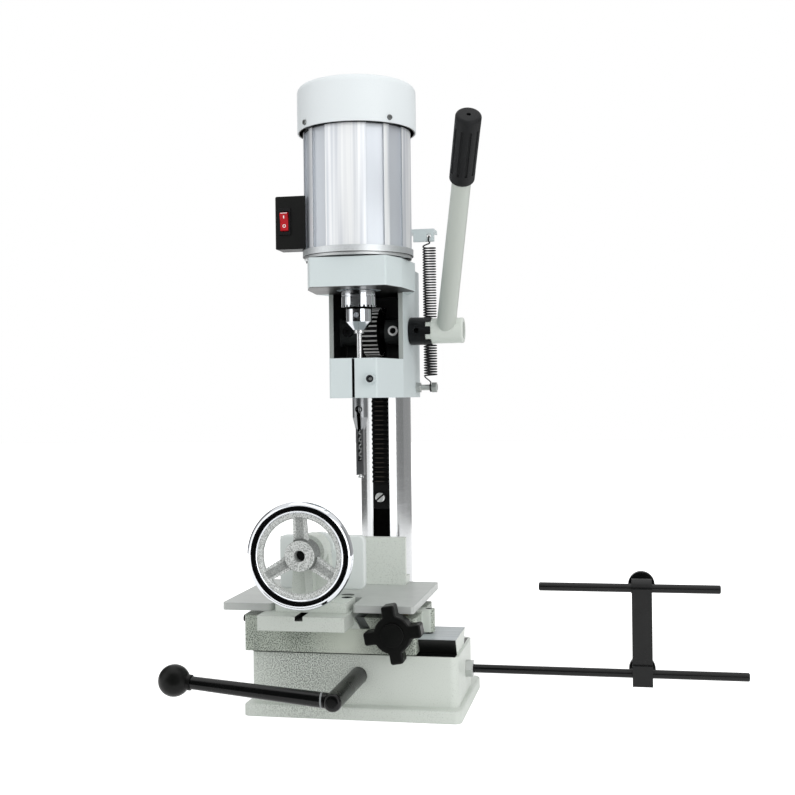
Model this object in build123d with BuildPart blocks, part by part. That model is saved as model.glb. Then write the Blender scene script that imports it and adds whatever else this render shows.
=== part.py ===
"""Hollow chisel mortiser, a bench machine that cuts square holes in wood.

Millimetres, +Z up. The origin is on the bench, straight under the chisel's axis.
+X is the operator's right hand, -Y is towards the operator.
"""
from build123d import *
import os
from math import acos, cos, pi, radians, sin, sqrt, tan

os.makedirs("parts", exist_ok=True)

# Fits, gears and flanks
SLIDE_FIT = 0.12  # between flat sliding faces
RUN_FIT = 0.05  # radial, a shaft in its bore
SEAT_FIT = 0.02  # radial, a piece fixed in its seat
PASS_GAP = 0.5  # pieces that pass each other
FLANK_ANGLE = radians(60)  # dovetail flanks
PRESSURE_ANGLE = radians(20)
DEDENDUM = 1.25  # in modules
BACKLASH = 0.25
SCREW_D = 8  # socket head screws
SCREW_HEAD_D = 13
SCREW_HEAD_H = 8
SCREW_SOCKET_D = 6.5
SCREW_SOCKET_DEPTH = 4
SET_SCREW_OUT = 5  # set screws stand out this far

# Base casting
FOOT_X = 8.5
FOOT_Y = -17.5
FOOT_W = 257
FOOT_D = 179
FOOT_H = 14
FOOT_R = 8
FOOT_EDGE_R = 3
WALL_STEP_X = 5  # foot past the side walls
WALL_STEP_FRONT = 16  # foot past the front wall
WALL_STEP_BACK = 44  # foot past the rear wall
BODY_TOP = 72
BODY_R = 10
CASTING_WALL = 10
CASTING_ROOF = 12
POCKET_GAP = 3  # round the crank's pinion

# Column, its rack and the spring's bracket
COLUMN_D = 70
COLUMN_Y = 154
COLUMN_FOOT = 20
COLUMN_RISE = 51  # past the head's top
SOCKET_D = 104
SOCKET_TOP = 100
COLUMN_SCREW_DROP = 12  # below the socket's top
GROOVE_UP = 10  # groove's foot over the socket
HEAD_MODULE = 2
HEAD_PINION_TEETH = 30
HEAD_PINION_W = 20
RACK_OUT = 2  # pitch line in front of the column
RACK_W = 22
RACK_DEPTH = 11  # pitch line to the rack's back
RACK_FOOT = 221
RACK_PLAIN = 29  # length without teeth at the foot
RACK_HEAD_GAP = 25  # rack's end below the column's top
RACK_SCREW_UP = 16  # screw above the rack's foot
BRACKET_T = 5
TAB_DROP = 17
TAB_W = 28
TAB_HOLE_D = 6
TAB_HOLE_DROP = 9  # below the bracket's top

# Saddle, crank and sideways feed
WAY_W = 78
WAY_Y = -48
WAY_H = 19
WAY_INSET = 3  # way's ends inside the base's sides
SADDLE_X0 = -120
SADDLE_X1 = 85
SADDLE_FRONT = -100
SADDLE_RIM = 4  # behind the rack
SADDLE_GAP = 3  # over the base's top
SADDLE_H = 42
SADDLE_R = 4
SADDLE_GIB_W = 6
CRANK_X = 15
CRANK_DROP = 27.5  # crank's axis below the saddle
CRANK_MODULE = 2
CRANK_TEETH = 28
CRANK_PINION_W = 12
CRANK_PINION_GAP = 3  # gib to the pinion's front face
CRANK_SHAFT_D = 20
CRANK_OUT = 127  # shaft's end in front of the base
CRANK_ARM_L = 180
CRANK_ARM_D = 17
CRANK_ARM_END_D = 14
CRANK_TILT = radians(5.2)
CRANK_STUB_D = 8
BALL_D = 35
BALL_NECK_D = 17
SADDLE_RACK_X0 = -108
SADDLE_RACK_L = 146
SADDLE_RACK_H = 10  # pitch line to the rack's back
LUG_D = 14
LUG_Y = -50
LUG_GAP = 2  # over the way
LUG_RISE = 3  # past the saddle's top
LOCK_SCREW_Y = -84
LOCK_SCREW_DROP = 7  # below the saddle's top

# Cross slide, table and lengthwise feed
SLIDE_X = -41
SLIDE_W = 98
SLIDE_SINK = 13.4  # below the saddle's top
SLIDE_H = 20.8
SLIDE_FRONT = -144
SLIDE_BACK = 66
TABLE_GIB_W = 12
NOSE_SLOT_W = 9
NOSE_SLOT_DEPTH = 5
NOSE_RISE = 4  # nose's underside over the slide's
TABLE_X0 = -142
TABLE_X1 = 85
TABLE_FRONT = -113
TABLE_T = 8.6
TABLE_R = 4
TABLE_NOTCH_GAP = 6  # round the clamp's foot
FEED_X = 64
FEED_DROP = 13  # screw's axis below the saddle's top
FEED_SCREW_D = 12
FEED_COLLAR_D = 20
FEED_COLLAR_T = 5
FEED_TRAVEL = 40
FEED_NUT_W = 16
FEED_NUT_L = 24
FEED_NUT_DROP = 29
FEED_NUT_FRONT = -80
KNOB_D = 66
KNOB_BODY_D = 43
KNOB_LOBE_COUNT = 4
KNOB_LOBE_W = 15
KNOB_T = 20
KNOB_GAP = 14  # saddle face to the knob
KNOB_CAP_D = 26
KNOB_CAP_T = 2.5
KNOB_TURN = 10  # degrees

# Fence and front clamp
FENCE_Y = 36
FENCE_W = 164
FENCE_H = 60
FENCE_T = 10
FENCE_FOOT = 28
CLAMP_X = -34
CLAMP_H = 62  # screw's axis over the table
CLAMP_FOOT_W = 84
CLAMP_FOOT_T = 11.6
CLAMP_FOOT_STEP = 26  # foot behind the nose's front
CLAMP_FOOT_L = 53
CLAMP_WEB_W = 50
CLAMP_WEB_T = 14
CLAMP_BOSS_D = 40
CLAMP_BOSS_STEP = 15  # boss behind the nose's front
CLAMP_BOSS_L = 30
CLAMP_RIB_T = 10
CLAMP_SCREW_D = 16
CLAMP_PIVOT_D = 10
JAW_W = 104
JAW_H = 64
JAW_UP = 10  # over the table
JAW_OUT = 43  # jaw's face behind the boss
JAW_T = 10
JAW_R = 7
JAW_BOSS_D = 34
JAW_BOSS_L = 11
WHEEL_D = 122
WHEEL_RIM = 14
WHEEL_STEP = 3  # rim's middle in front of the hub's face
HUB_D = 35
HUB_L = 20
HUB_GAP = 8  # hub to the boss
HUB_HOLE_D = 13
SPOKE_COUNT = 3
SPOKE_W = 20
SPOKE_FLANK = 85  # degrees
SPOKE_T = 9

# Head casting
HEAD_BOTTOM = 370
NOSE_H = 48.5
WINDOW_H = 84.5
BLOCK_H = 36
HEAD_HALF = 48
HEAD_WALL = 6
NOSE_HALF = 29.5
NOSE_FRONT = -35
WINDOW_FRONT = 38
WINDOW_REAR_WALL = 11  # window to the column's bore
BLOCK_FRONT = -60
BLOCK_FRONT_HALF = 47
BLOCK_CORNER_Y = -23
BLOCK_CORNER_HALF = 59
BLOCK_SIDE_HALF = 64.5
BLOCK_BACK_Y = 78
HEAD_EDGE_R = 3
SPINDLE_HOLE_D = 56
SLIT_W = 3
PINION_UP = 37.5  # pinion's axis over the window's foot
BEARING_BOSS_D = 34
BEARING_BOSS_L = 25
SHAFT_D = 16
BUSH_D = 22
BUSH_SCREW_X = 30
NOSE_SCREW_X = 22
NOSE_SCREW_UP = 23
CHISEL_SHANK_D = 19
CHISEL_SEAT = 42  # shank inside the nose
CHISEL_SHANK_OUT = 24  # shank below the nose
CHISEL_CONE_H = 15
CHISEL_L = 58  # square tube below the cone
CHISEL_SIDE = 9.6
CHISEL_NECK_D = 11.5
CHISEL_POINT_D = 14.4
CHISEL_BORE_D = 8.2
CHISEL_SLOT_W = 4
CHISEL_SLOT_L = 38
CHISEL_POINT_H = 4
CHISEL_EYE_D = 9
CHISEL_EYE_DROP = 14  # below the nose

# Lever and clutch
COLLAR_D = 36
COLLAR_L = 21
DOG_COUNT = 6
DOG_TURN = 30  # degrees
DOG_H = 7
DOG_BORE_D = 20
DOG_W = 7.3
PULL = 8
LEVER_HUB_D = 33
LEVER_HUB_L = 41.5
LEVER_ARM_X = 17.5  # arm's middle from the hub's start
LEVER_L = 338
LEVER_RAKE = radians(41.2)  # above level
LEVER_SPLAY = radians(11.3)  # outwards
LEVER_ROOT_D = 25
LEVER_END_D = 22
LEVER_STUB_D = 13
LEVER_STUB_L = 72
GRIP_D = 29
GRIP_L = 90
GRIP_GROOVES = 10
GRIP_GROOVE_D = 3
GRIP_HOLE_D = 5
END_SCREW_HEAD_D = 21
END_SCREW_HEAD_T = 5

# Motor and switch
MOTOR_D = 133
FLANGE_H = 13
MOTOR_H = 145
MOTOR_WALL = 9
LAND_COUNT = 4
FLUTE_DEPTH = 4
FLUTE_W = 22
FLUTE_ANGLE = 32  # degrees from the middle of each wide land
FLANGE_LIP = 2  # past the housing
FLANGE_GAP = 5  # under its plate
SPIGOT_D = 100
EAR_X = 55
EAR_D = 23
BEARING_D = 42
BEARING_W = 13
MOTOR_SHAFT_D = 17
STATOR_H = 76
STATOR_UP = 34  # over the motor's foot
ROTOR_D = 65
AIR_GAP = 0.5
SHIELD_T = 12
COVER_OUT = 7  # past the housing
COVER_H = 57
COVER_SHOULDER_R = 9
COVER_WALL = 2.5
VENT_COUNT = 12
VENT_R = 33
VENT_L = 22
VENT_W = 4
COVER_LUG_COUNT = 4
COVER_LUG_ANGLE = 45  # degrees
COVER_LUG_W = 16
FAN_D = 116
FAN_GAP = 7  # shield to the fan
FAN_BLADE_COUNT = 8
FAN_BLADE_T = 3
FAN_BLADE_H = 18
FAN_HUB_D = 34
BOX_OUT = 30  # past the motor's side
BOX_IN = 8.5  # inside the motor's side
BOX_FRONT = -34
BOX_D = 28
BOX_UP = 1  # over the motor's foot
BOX_H = 65
BOX_R = 2.5
BEZEL_W = 15
BEZEL_H = 33
BEZEL_T = 2
BEZEL_IN = 12.5  # bezel's middle from the box's side
BEZEL_UP = 34  # bezel's middle over the box's foot
ROCKER_W = 10
ROCKER_H = 24
ROCKER_DEPTH = 7
ROCKER_DISH = 2.1
ROCKER_TILT = radians(9)
GLAND_D = 16
GLAND_L = 14
GLAND_HOLE_D = 8

# Chuck and auger
CHUCK_D = 32
CHUCK_H = 66
CHUCK_DROP = 19  # chuck's top below the head's
CHUCK_CONE_H = 10
CHUCK_NOSE_D = 15
CHUCK_KEY_D = 6
CHUCK_KEY_UP = 18  # over the chuck's nose
CHUCK_MOUTH_D = 12.4
CHUCK_MOUTH_H = 24
SLEEVE_D = 43
SLEEVE_H = 32
SLEEVE_UP = 28  # over the chuck's nose
SLEEVE_TOOTH_COUNT = 24
SLEEVE_TOOTH_W = 2.5
SLEEVE_TOOTH_L = 4.3
SLEEVE_GROOVE_UP = 13  # over the sleeve's foot
SLEEVE_GROOVE_W = 1.25
SHAFT_UP = 36  # shaft's end over the chuck's nose
JAW_COUNT = 3
JAW_TURN = 30  # degrees
JAW_TIP_OUT = 4  # past the chuck's nose
JAW_SPLIT_W = 1
AUGER_SHANK_D = 6.4
AUGER_D = 7.4
AUGER_OUT = 2  # past the chisel's points
AUGER_FLUTE_L = 71
AUGER_WEB_T = 2.6
AUGER_LEAD_L = 18

# Return spring
SPRING_OUT = 19.5  # spring's axis past the head's side
SPRING_Y = 130
SPRING_WIRE_D = 2
SPRING_D = 16.4  # middle of the wire
SPRING_LOW_LEAD = 11.5  # bolt to the first coil
SPRING_TOP_LEAD = 7  # last coil to the tab
SPRING_COILS = 49
WIRE_SIDES = 4
POINTS_PER_ARC = 4  # where the gap is measured
ANCHOR_UP = 13  # over the head's foot
ANCHOR_D = 8
ANCHOR_SEAT = 12  # inside the head
ANCHOR_NUT_D = 13
ANCHOR_NUT_T = 6
ANCHOR_BARE = 2  # wire's middle to the outer nut
ANCHOR_END = 1  # bolt past the outer nut

# Length stop
STOP_Y = -25
STOP_D = 10
RAIL_Z = 45
RAIL_END = 459
JAM_NUT_D = 18
JAM_NUT_T = 9
BAR_X = 339
BAR_W = 23
BAR_T = 6
BAR_BOTTOM = 33
BAR_LIP = 4
ROD_Z = 144.6
ROD_X0 = 220
ROD_X1 = 428
STOP_BLOCK_H = 24
THUMB_D = 31
THUMB_T = 8
THUMB_SHANK_D = 6
THUMB_L = 20

# Base, from the sizes above
body_w = FOOT_W - 2 * WALL_STEP_X
body_d = FOOT_D - WALL_STEP_FRONT - WALL_STEP_BACK
body_front = FOOT_Y - FOOT_D / 2 + WALL_STEP_FRONT
body_y = body_front + body_d / 2
body_left = FOOT_X - body_w / 2
body_right = FOOT_X + body_w / 2
way_front = WAY_Y - WAY_W / 2
way_back = WAY_Y + WAY_W / 2
way_top = BODY_TOP + WAY_H
column_front = COLUMN_Y - COLUMN_D / 2
column_screw_z = SOCKET_TOP - COLUMN_SCREW_DROP
groove_foot = SOCKET_TOP + GROOVE_UP

# Saddle and crank
saddle_bottom = BODY_TOP + SADDLE_GAP
saddle_top = saddle_bottom + SADDLE_H
crank_z = saddle_bottom - CRANK_DROP
crank_r = CRANK_MODULE * CRANK_TEETH / 2
crank_front = body_front - CRANK_OUT
crank_arm_y = crank_front + CRANK_SHAFT_D / 2
crank_pinion_y = way_back + SADDLE_GIB_W + CRANK_PINION_GAP
crank_back = crank_pinion_y + CRANK_PINION_W
saddle_back = crank_back + SADDLE_RIM
saddle_pitch_z = crank_z + crank_r
lug_x = SADDLE_X1 + LUG_D / 2
lug_bottom = way_top + LUG_GAP
lug_top = saddle_top + LUG_RISE
lock_screw_z = saddle_top - LOCK_SCREW_DROP
crank_way = Vector(-cos(CRANK_TILT), 0, sin(CRANK_TILT))

# Slide, table and clamp
slide_bottom = saddle_top - SLIDE_SINK
slide_top = slide_bottom + SLIDE_H
slide_right = SLIDE_X + SLIDE_W / 2
slide_left = SLIDE_X - SLIDE_W / 2
feed_z = saddle_top - FEED_DROP
table_top = slide_top + TABLE_T
fence_screw_y = FENCE_Y + FENCE_T + (FENCE_FOOT - FENCE_T) / 2
fence_screw_step = FENCE_W - 4 * SCREW_HEAD_D
foot_top = slide_top + CLAMP_FOOT_T
clamp_foot_front = SLIDE_FRONT + CLAMP_FOOT_STEP
clamp_foot_back = clamp_foot_front + CLAMP_FOOT_L
clamp_screw_y = clamp_foot_back - SCREW_HEAD_D
notch_back = clamp_foot_back + TABLE_NOTCH_GAP
plate_screw_front = notch_back + 2 * SCREW_D
plate_screw_back = SLIDE_BACK - 3 * SCREW_D
plate_screw_y = (plate_screw_front + plate_screw_back) / 2
clamp_screw_step = CLAMP_WEB_W + SCREW_HEAD_D + 8 * PASS_GAP
clamp_boss_front = SLIDE_FRONT + CLAMP_BOSS_STEP
clamp_z = table_top + CLAMP_H
boss_back = clamp_boss_front + CLAMP_BOSS_L
jaw_face = boss_back + JAW_OUT
jaw_bottom = table_top + JAW_UP
hub_front = clamp_boss_front - HUB_GAP - HUB_L
wheel_y = hub_front - WHEEL_STEP

# Head, motor and switch
window_bottom = HEAD_BOTTOM + NOSE_H
window_top = window_bottom + WINDOW_H
head_top = window_top + BLOCK_H
column_top = head_top + COLUMN_RISE
pinion_r = HEAD_MODULE * HEAD_PINION_TEETH / 2
rack_pitch_y = column_front - RACK_OUT
rack_back = rack_pitch_y + RACK_DEPTH
pinion_y = rack_pitch_y - pinion_r
pinion_z = window_bottom + PINION_UP
nose_screw_z = HEAD_BOTTOM + NOSE_SCREW_UP
chisel_top = HEAD_BOTTOM + CHISEL_SEAT
chisel_shoulder = HEAD_BOTTOM - CHISEL_SHANK_OUT
chisel_neck = chisel_shoulder - CHISEL_CONE_H
chisel_tip = chisel_neck - CHISEL_L
motor_bottom = head_top + FLANGE_H
motor_top = motor_bottom + MOTOR_H
stator_z = motor_bottom + STATOR_UP
cover_top = motor_top + COVER_H
cover_r = MOTOR_D / 2 + COVER_OUT
fan_z = motor_top + SHIELD_T + FAN_GAP
box_x0 = -MOTOR_D / 2 - BOX_OUT
box_x1 = -MOTOR_D / 2 + BOX_IN
box_back = BOX_FRONT + BOX_D
box_bottom = motor_bottom + BOX_UP
bezel_x = box_x0 + BEZEL_IN
bezel_z = box_bottom + BEZEL_UP

# Lever, chuck and spring
collar_x0 = HEAD_HALF + 2 * PASS_GAP
collar_x1 = collar_x0 + COLLAR_L
hub_start = collar_x1 + DOG_H + PASS_GAP
hub_end = hub_start + LEVER_HUB_L
lever_root = Vector(hub_start + LEVER_ARM_X, pinion_y, pinion_z)
lever_way = Vector(
    sin(LEVER_SPLAY),
    -cos(LEVER_SPLAY) * cos(LEVER_RAKE),
    cos(LEVER_SPLAY) * sin(LEVER_RAKE),
)
chuck_top = head_top - CHUCK_DROP
chuck_nose = chuck_top - CHUCK_H
chuck_mouth_top = chuck_nose + CHUCK_MOUTH_H
sleeve_bottom = chuck_nose + SLEEVE_UP
shaft_bottom = chuck_nose + SHAFT_UP
jaw_tip = chuck_nose - JAW_TIP_OUT
auger_bottom = chisel_tip - AUGER_OUT
auger_flutes = auger_bottom + AUGER_FLUTE_L
anchor_z = HEAD_BOTTOM + ANCHOR_UP
anchor_top = anchor_z + ANCHOR_D / 2
tab_bottom = column_top + BRACKET_T - TAB_DROP
spring_x = HEAD_HALF + SPRING_OUT
spring_bottom = anchor_top + SPRING_LOW_LEAD
spring_top = tab_bottom - SPRING_TOP_LEAD


def front_plane(y, x=0, z=0):
    """Plane that faces the operator: local x is +X, local y is +Z, normal -Y."""
    return Plane(origin=(x, y, z), x_dir=(1, 0, 0), z_dir=(0, -1, 0))


def right_plane(x, y=0, z=0):
    """Plane that faces right: local x is +Y, local y is +Z, normal +X."""
    return Plane(origin=(x, y, z), x_dir=(0, 1, 0), z_dir=(1, 0, 0))


def flare(rise):
    """Sideways run of a dovetail flank over a rise."""
    return rise / tan(FLANK_ANGLE)


def gear_points(module, teeth):
    """Outline of a spur gear. The first tooth is centred on the local x axis."""
    pitch_radius = module * teeth / 2
    base_radius = pitch_radius * cos(PRESSURE_ANGLE)
    root_radius = pitch_radius - DEDENDUM * module
    half_tooth = (pi / 2 - BACKLASH / module) / teeth
    flank = []
    for radius in (root_radius, pitch_radius, pitch_radius + module):
        roll = acos(base_radius / max(radius, base_radius))
        turn = half_tooth + involute(PRESSURE_ANGLE) - involute(roll)
        flank.append((radius, turn))
    corners = [(radius, -turn) for radius, turn in flank]
    corners += [(radius, turn) for radius, turn in reversed(flank)]
    outline = []
    for tooth in range(teeth):
        middle = 2 * pi * tooth / teeth
        for radius, turn in corners:
            outline.append((radius * cos(middle + turn), radius * sin(middle + turn)))
    return outline


def involute(angle):
    """Involute function of a pressure angle."""
    return tan(angle) - angle


def rack_points(module, first, count):
    """Tooth corners of a rack as (along, out) pairs. first is the first tooth's middle."""
    pitch = pi * module
    half_tooth = (pitch / 2 - BACKLASH) / 2
    half_root = half_tooth + DEDENDUM * module * tan(PRESSURE_ANGLE)
    half_tip = half_tooth - module * tan(PRESSURE_ANGLE)
    points = []
    for tooth in range(count):
        middle = first + tooth * pitch
        points.append((middle - half_root, -DEDENDUM * module))
        points.append((middle - half_tip, module))
        points.append((middle + half_tip, module))
        points.append((middle + half_root, -DEDENDUM * module))
    return points


def socket_screw(length):
    """Socket head screw along the current locations' z, its head above the origin."""
    Cylinder(SCREW_D / 2, length, align=(Align.CENTER, Align.CENTER, Align.MAX))
    Cylinder(SCREW_HEAD_D / 2, SCREW_HEAD_H, align=(Align.CENTER, Align.CENTER, Align.MIN))
    with Locations((0, 0, SCREW_HEAD_H - SCREW_SOCKET_DEPTH)):
        Cylinder(
            SCREW_SOCKET_D / 2,
            SCREW_SOCKET_DEPTH,
            align=(Align.CENTER, Align.CENTER, Align.MIN),
            mode=Mode.SUBTRACT,
        )


def set_screw(length):
    """Headless screw along the current locations' z, its socket end standing out of the origin."""
    with Locations((0, 0, SET_SCREW_OUT)):
        Cylinder(SCREW_D / 2, length + SET_SCREW_OUT, align=(Align.CENTER, Align.CENTER, Align.MAX))
        Cylinder(
            SCREW_SOCKET_D / 3,
            SCREW_SOCKET_DEPTH,
            align=(Align.CENTER, Align.CENTER, Align.MAX),
            mode=Mode.SUBTRACT,
        )


def save(builder, name):
    """Label a finished piece and write it."""
    builder.part.label = name
    export_step(builder.part, f"parts/{name}.step")


# Base casting: ribbed underneath, with the dovetail way on top and the column's socket behind
way_x0 = body_left + WAY_INSET
neck_d = COLUMN_Y - body_y
pocket_half = crank_r + CRANK_MODULE + POCKET_GAP
pocket_d = (body_d - 3 * CASTING_WALL) / 2
pocket_y = (pocket_d + CASTING_WALL) / 2
left_pocket = CRANK_X - pocket_half - body_left - 2 * CASTING_WALL
right_pocket = body_right - CRANK_X - pocket_half - 2 * CASTING_WALL
left_x = body_left + CASTING_WALL + left_pocket / 2
right_x = body_right - CASTING_WALL - right_pocket / 2
rib_back = body_y + CASTING_WALL / 2
with BuildPart() as base_casting:
    with BuildSketch():
        with Locations((FOOT_X, FOOT_Y)):
            RectangleRounded(FOOT_W, FOOT_D, FOOT_R)
        with Locations((0, body_y + neck_d / 2)):
            Rectangle(SOCKET_D + 2 * WALL_STEP_X, neck_d)
        with Locations((0, COLUMN_Y)):
            Circle(SOCKET_D / 2 + WALL_STEP_X)
    extrude(amount=FOOT_H)
    fillet(base_casting.edges().group_by(Axis.Z)[-1], FOOT_EDGE_R)
    with BuildSketch(Plane.XY.offset(FOOT_H)):
        with Locations((FOOT_X, body_y)):
            RectangleRounded(body_w, body_d, BODY_R)
        with Locations((0, body_y + neck_d / 2)):
            Rectangle(SOCKET_D, neck_d)
    extrude(amount=BODY_TOP - FOOT_H)
    with BuildSketch(Plane.XY.offset(FOOT_H)):
        with Locations((0, COLUMN_Y)):
            Circle(SOCKET_D / 2)
    extrude(amount=SOCKET_TOP - FOOT_H)
    fillet(base_casting.edges().group_by(Axis.Z)[-1], FOOT_EDGE_R)
    with BuildSketch(right_plane(way_x0)):
        with BuildLine():
            Polyline(
                (way_front + flare(way_top - BODY_TOP), BODY_TOP),
                (way_front, way_top),
                (way_back, way_top),
                (way_back - flare(way_top - BODY_TOP), BODY_TOP),
                close=True,
            )
        make_face()
    extrude(amount=body_w - 2 * WAY_INSET)
    with BuildSketch():
        with Locations((left_x, body_y - pocket_y), (left_x, body_y + pocket_y)):
            RectangleRounded(left_pocket, pocket_d, BODY_R / 2)
        with Locations((CRANK_X, body_y - pocket_y), (CRANK_X, body_y + pocket_y)):
            RectangleRounded(2 * pocket_half, pocket_d, BODY_R / 2)
        with Locations((right_x, body_y - pocket_y), (right_x, body_y + pocket_y)):
            RectangleRounded(right_pocket, pocket_d, BODY_R / 2)
    extrude(amount=BODY_TOP - CASTING_ROOF, mode=Mode.SUBTRACT)
    with BuildSketch():
        with Locations((0, rib_back)):
            Rectangle(CASTING_WALL, pocket_d, align=(Align.CENTER, Align.MIN))
    extrude(amount=FOOT_H)
    with BuildSketch(Plane.XY.offset(COLUMN_FOOT)):
        with Locations((0, COLUMN_Y)):
            Circle(COLUMN_D / 2 + SEAT_FIT)
    extrude(amount=SOCKET_TOP - COLUMN_FOOT, mode=Mode.SUBTRACT)
    with BuildSketch(front_plane(rib_back)):
        with Locations((CRANK_X, crank_z)):
            Circle(CRANK_SHAFT_D / 2 + RUN_FIT)
    extrude(amount=rib_back - body_front, mode=Mode.SUBTRACT)
    crank_slot_y = crank_pinion_y + CRANK_PINION_W / 2
    with BuildSketch(Plane.XY.offset(BODY_TOP - CASTING_ROOF)):
        with Locations((CRANK_X, crank_slot_y)):
            Rectangle(2 * (crank_r + CRANK_MODULE + PASS_GAP), CRANK_PINION_W + 4 * PASS_GAP)
    extrude(amount=CASTING_ROOF, mode=Mode.SUBTRACT)
    with BuildSketch(right_plane(body_right)):
        with Locations((STOP_Y, RAIL_Z)):
            Circle(STOP_D / 2 + SEAT_FIT)
    extrude(amount=-CASTING_WALL, mode=Mode.SUBTRACT)
    with BuildSketch(front_plane(COLUMN_Y + SOCKET_D / 2)):
        with Locations((0, column_screw_z)):
            Circle(SCREW_D / 2 + SEAT_FIT)
    extrude(amount=SOCKET_D / 2, mode=Mode.SUBTRACT)
save(base_casting, "base_casting")

# Column: ground bar with a milled groove for the rack
with BuildPart() as column:
    with BuildSketch(Plane.XY.offset(COLUMN_FOOT)):
        with Locations((0, COLUMN_Y)):
            Circle(COLUMN_D / 2)
    extrude(amount=column_top - COLUMN_FOOT)
    with BuildSketch(Plane.XY.offset(groove_foot)):
        with Locations((0, rack_back)):
            Rectangle(RACK_W, COLUMN_D, align=(Align.CENTER, Align.MAX))
    extrude(amount=column_top - groove_foot, mode=Mode.SUBTRACT)
    with BuildSketch(front_plane(rack_back)):
        with Locations((0, RACK_FOOT + RACK_SCREW_UP)):
            Circle(SCREW_D / 2 + SEAT_FIT)
    extrude(amount=-SCREW_D, mode=Mode.SUBTRACT)
    with BuildSketch(Plane.XY.offset(column_top)):
        with Locations((0, COLUMN_Y)):
            Circle(SCREW_D / 2 + SEAT_FIT)
    extrude(amount=-2 * SCREW_D, mode=Mode.SUBTRACT)
save(column, "column")

# Column rack: a tooth gap stands level with the pinion's axis
rack_pitch = pi * HEAD_MODULE
rack_start = RACK_FOOT + RACK_PLAIN
gaps_below = int((pinion_z - rack_start) / rack_pitch)
first_tooth = pinion_z - gaps_below * rack_pitch + rack_pitch / 2
rack_teeth = int((column_top - RACK_HEAD_GAP - first_tooth) / rack_pitch)
rack_head = first_tooth + rack_teeth * rack_pitch
plain_y = rack_pitch_y + DEDENDUM * HEAD_MODULE
with BuildPart() as column_rack:
    with BuildSketch(right_plane(-RACK_W / 2 + SEAT_FIT)):
        with BuildLine():
            Polyline(
                [(rack_back, RACK_FOOT), (plain_y, RACK_FOOT)]
                + [(rack_pitch_y - out, z) for z, out in rack_points(HEAD_MODULE, first_tooth, rack_teeth)]
                + [(plain_y, rack_head), (rack_back, rack_head)],
                close=True,
            )
        make_face()
    extrude(amount=RACK_W - 2 * SEAT_FIT)
    with BuildSketch(front_plane(rack_back)):
        with Locations((0, RACK_FOOT + RACK_SCREW_UP)):
            Circle(SCREW_D / 2 + SEAT_FIT)
    extrude(amount=rack_back - plain_y, mode=Mode.SUBTRACT)
save(column_rack, "column_rack")

# Screws that hold the rack's foot and lock the column in its socket
with BuildPart() as column_screws:
    with Locations(front_plane(plain_y, 0, RACK_FOOT + RACK_SCREW_UP)):
        socket_screw(rack_back - plain_y + SCREW_D)
    with Locations(Plane(origin=(0, COLUMN_Y + SOCKET_D / 2, column_screw_z), z_dir=(0, 1, 0))):
        socket_screw(SOCKET_D / 2 - COLUMN_D / 2)
    with Locations((0, COLUMN_Y, column_top + BRACKET_T)):
        socket_screw(BRACKET_T + 2 * SCREW_D)
save(column_screws, "column_screws")

# Spring bracket: plate on the column's top with a tab bent down over the spring
tab_right = spring_x + TAB_W / 4
tab_front = SPRING_Y - BRACKET_T / 2
with BuildPart() as spring_bracket:
    with BuildSketch(Plane.XY.offset(column_top)):
        with Locations((0, COLUMN_Y)):
            Circle(COLUMN_D / 2)
        with Locations((0, tab_front)):
            Rectangle(tab_right, TAB_W, align=(Align.MIN, Align.MIN))
    extrude(amount=BRACKET_T)
    with BuildSketch(Plane.XY.offset(tab_bottom)):
        with Locations((tab_right, tab_front)):
            Rectangle(TAB_W, BRACKET_T, align=(Align.MAX, Align.MIN))
    extrude(amount=TAB_DROP)
    with Locations((0, COLUMN_Y, column_top + BRACKET_T)):
        Hole(SCREW_D / 2 + SEAT_FIT, BRACKET_T)
    with BuildSketch(front_plane(tab_front, spring_x, column_top + BRACKET_T - TAB_HOLE_DROP)):
        Circle(TAB_HOLE_D / 2)
    extrude(amount=-BRACKET_T, mode=Mode.SUBTRACT)
save(spring_bracket, "spring_bracket")

# Length stop's lower rail and its jam nut
with BuildPart() as stop_rail:
    with BuildSketch(right_plane(body_right - CASTING_WALL)):
        with Locations((STOP_Y, RAIL_Z)):
            Circle(STOP_D / 2)
    extrude(amount=RAIL_END - body_right + CASTING_WALL)
    chamfer(stop_rail.faces().sort_by(Axis.X)[-1].edges(), STOP_D / 10)
save(stop_rail, "stop_rail")

with BuildPart() as stop_rail_nut:
    with BuildSketch(right_plane(body_right)):
        with Locations((STOP_Y, RAIL_Z)):
            RegularPolygon(JAM_NUT_D / 2, 6, major_radius=False)
            Circle(STOP_D / 2 + SEAT_FIT, mode=Mode.SUBTRACT)
    extrude(amount=JAM_NUT_T)
save(stop_rail_nut, "stop_rail_nut")

# Crank: shaft through the base, pinion under the saddle's rack, arm and ball
arm_plane = Plane(origin=(CRANK_X, crank_arm_y, crank_z), x_dir=(0, -1, 0), z_dir=crank_way)
with BuildPart() as crank_shaft:
    with BuildSketch(front_plane(crank_back)):
        with Locations((CRANK_X, crank_z)):
            Circle(CRANK_SHAFT_D / 2)
    extrude(amount=crank_back - crank_front)
    fillet(crank_shaft.faces().sort_by(Axis.Y)[0].edges(), CRANK_SHAFT_D / 4)
    with BuildSketch(arm_plane):
        Circle(CRANK_STUB_D / 2 + SEAT_FIT)
    extrude(amount=CRANK_SHAFT_D, mode=Mode.SUBTRACT)
save(crank_shaft, "crank_shaft")

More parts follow.
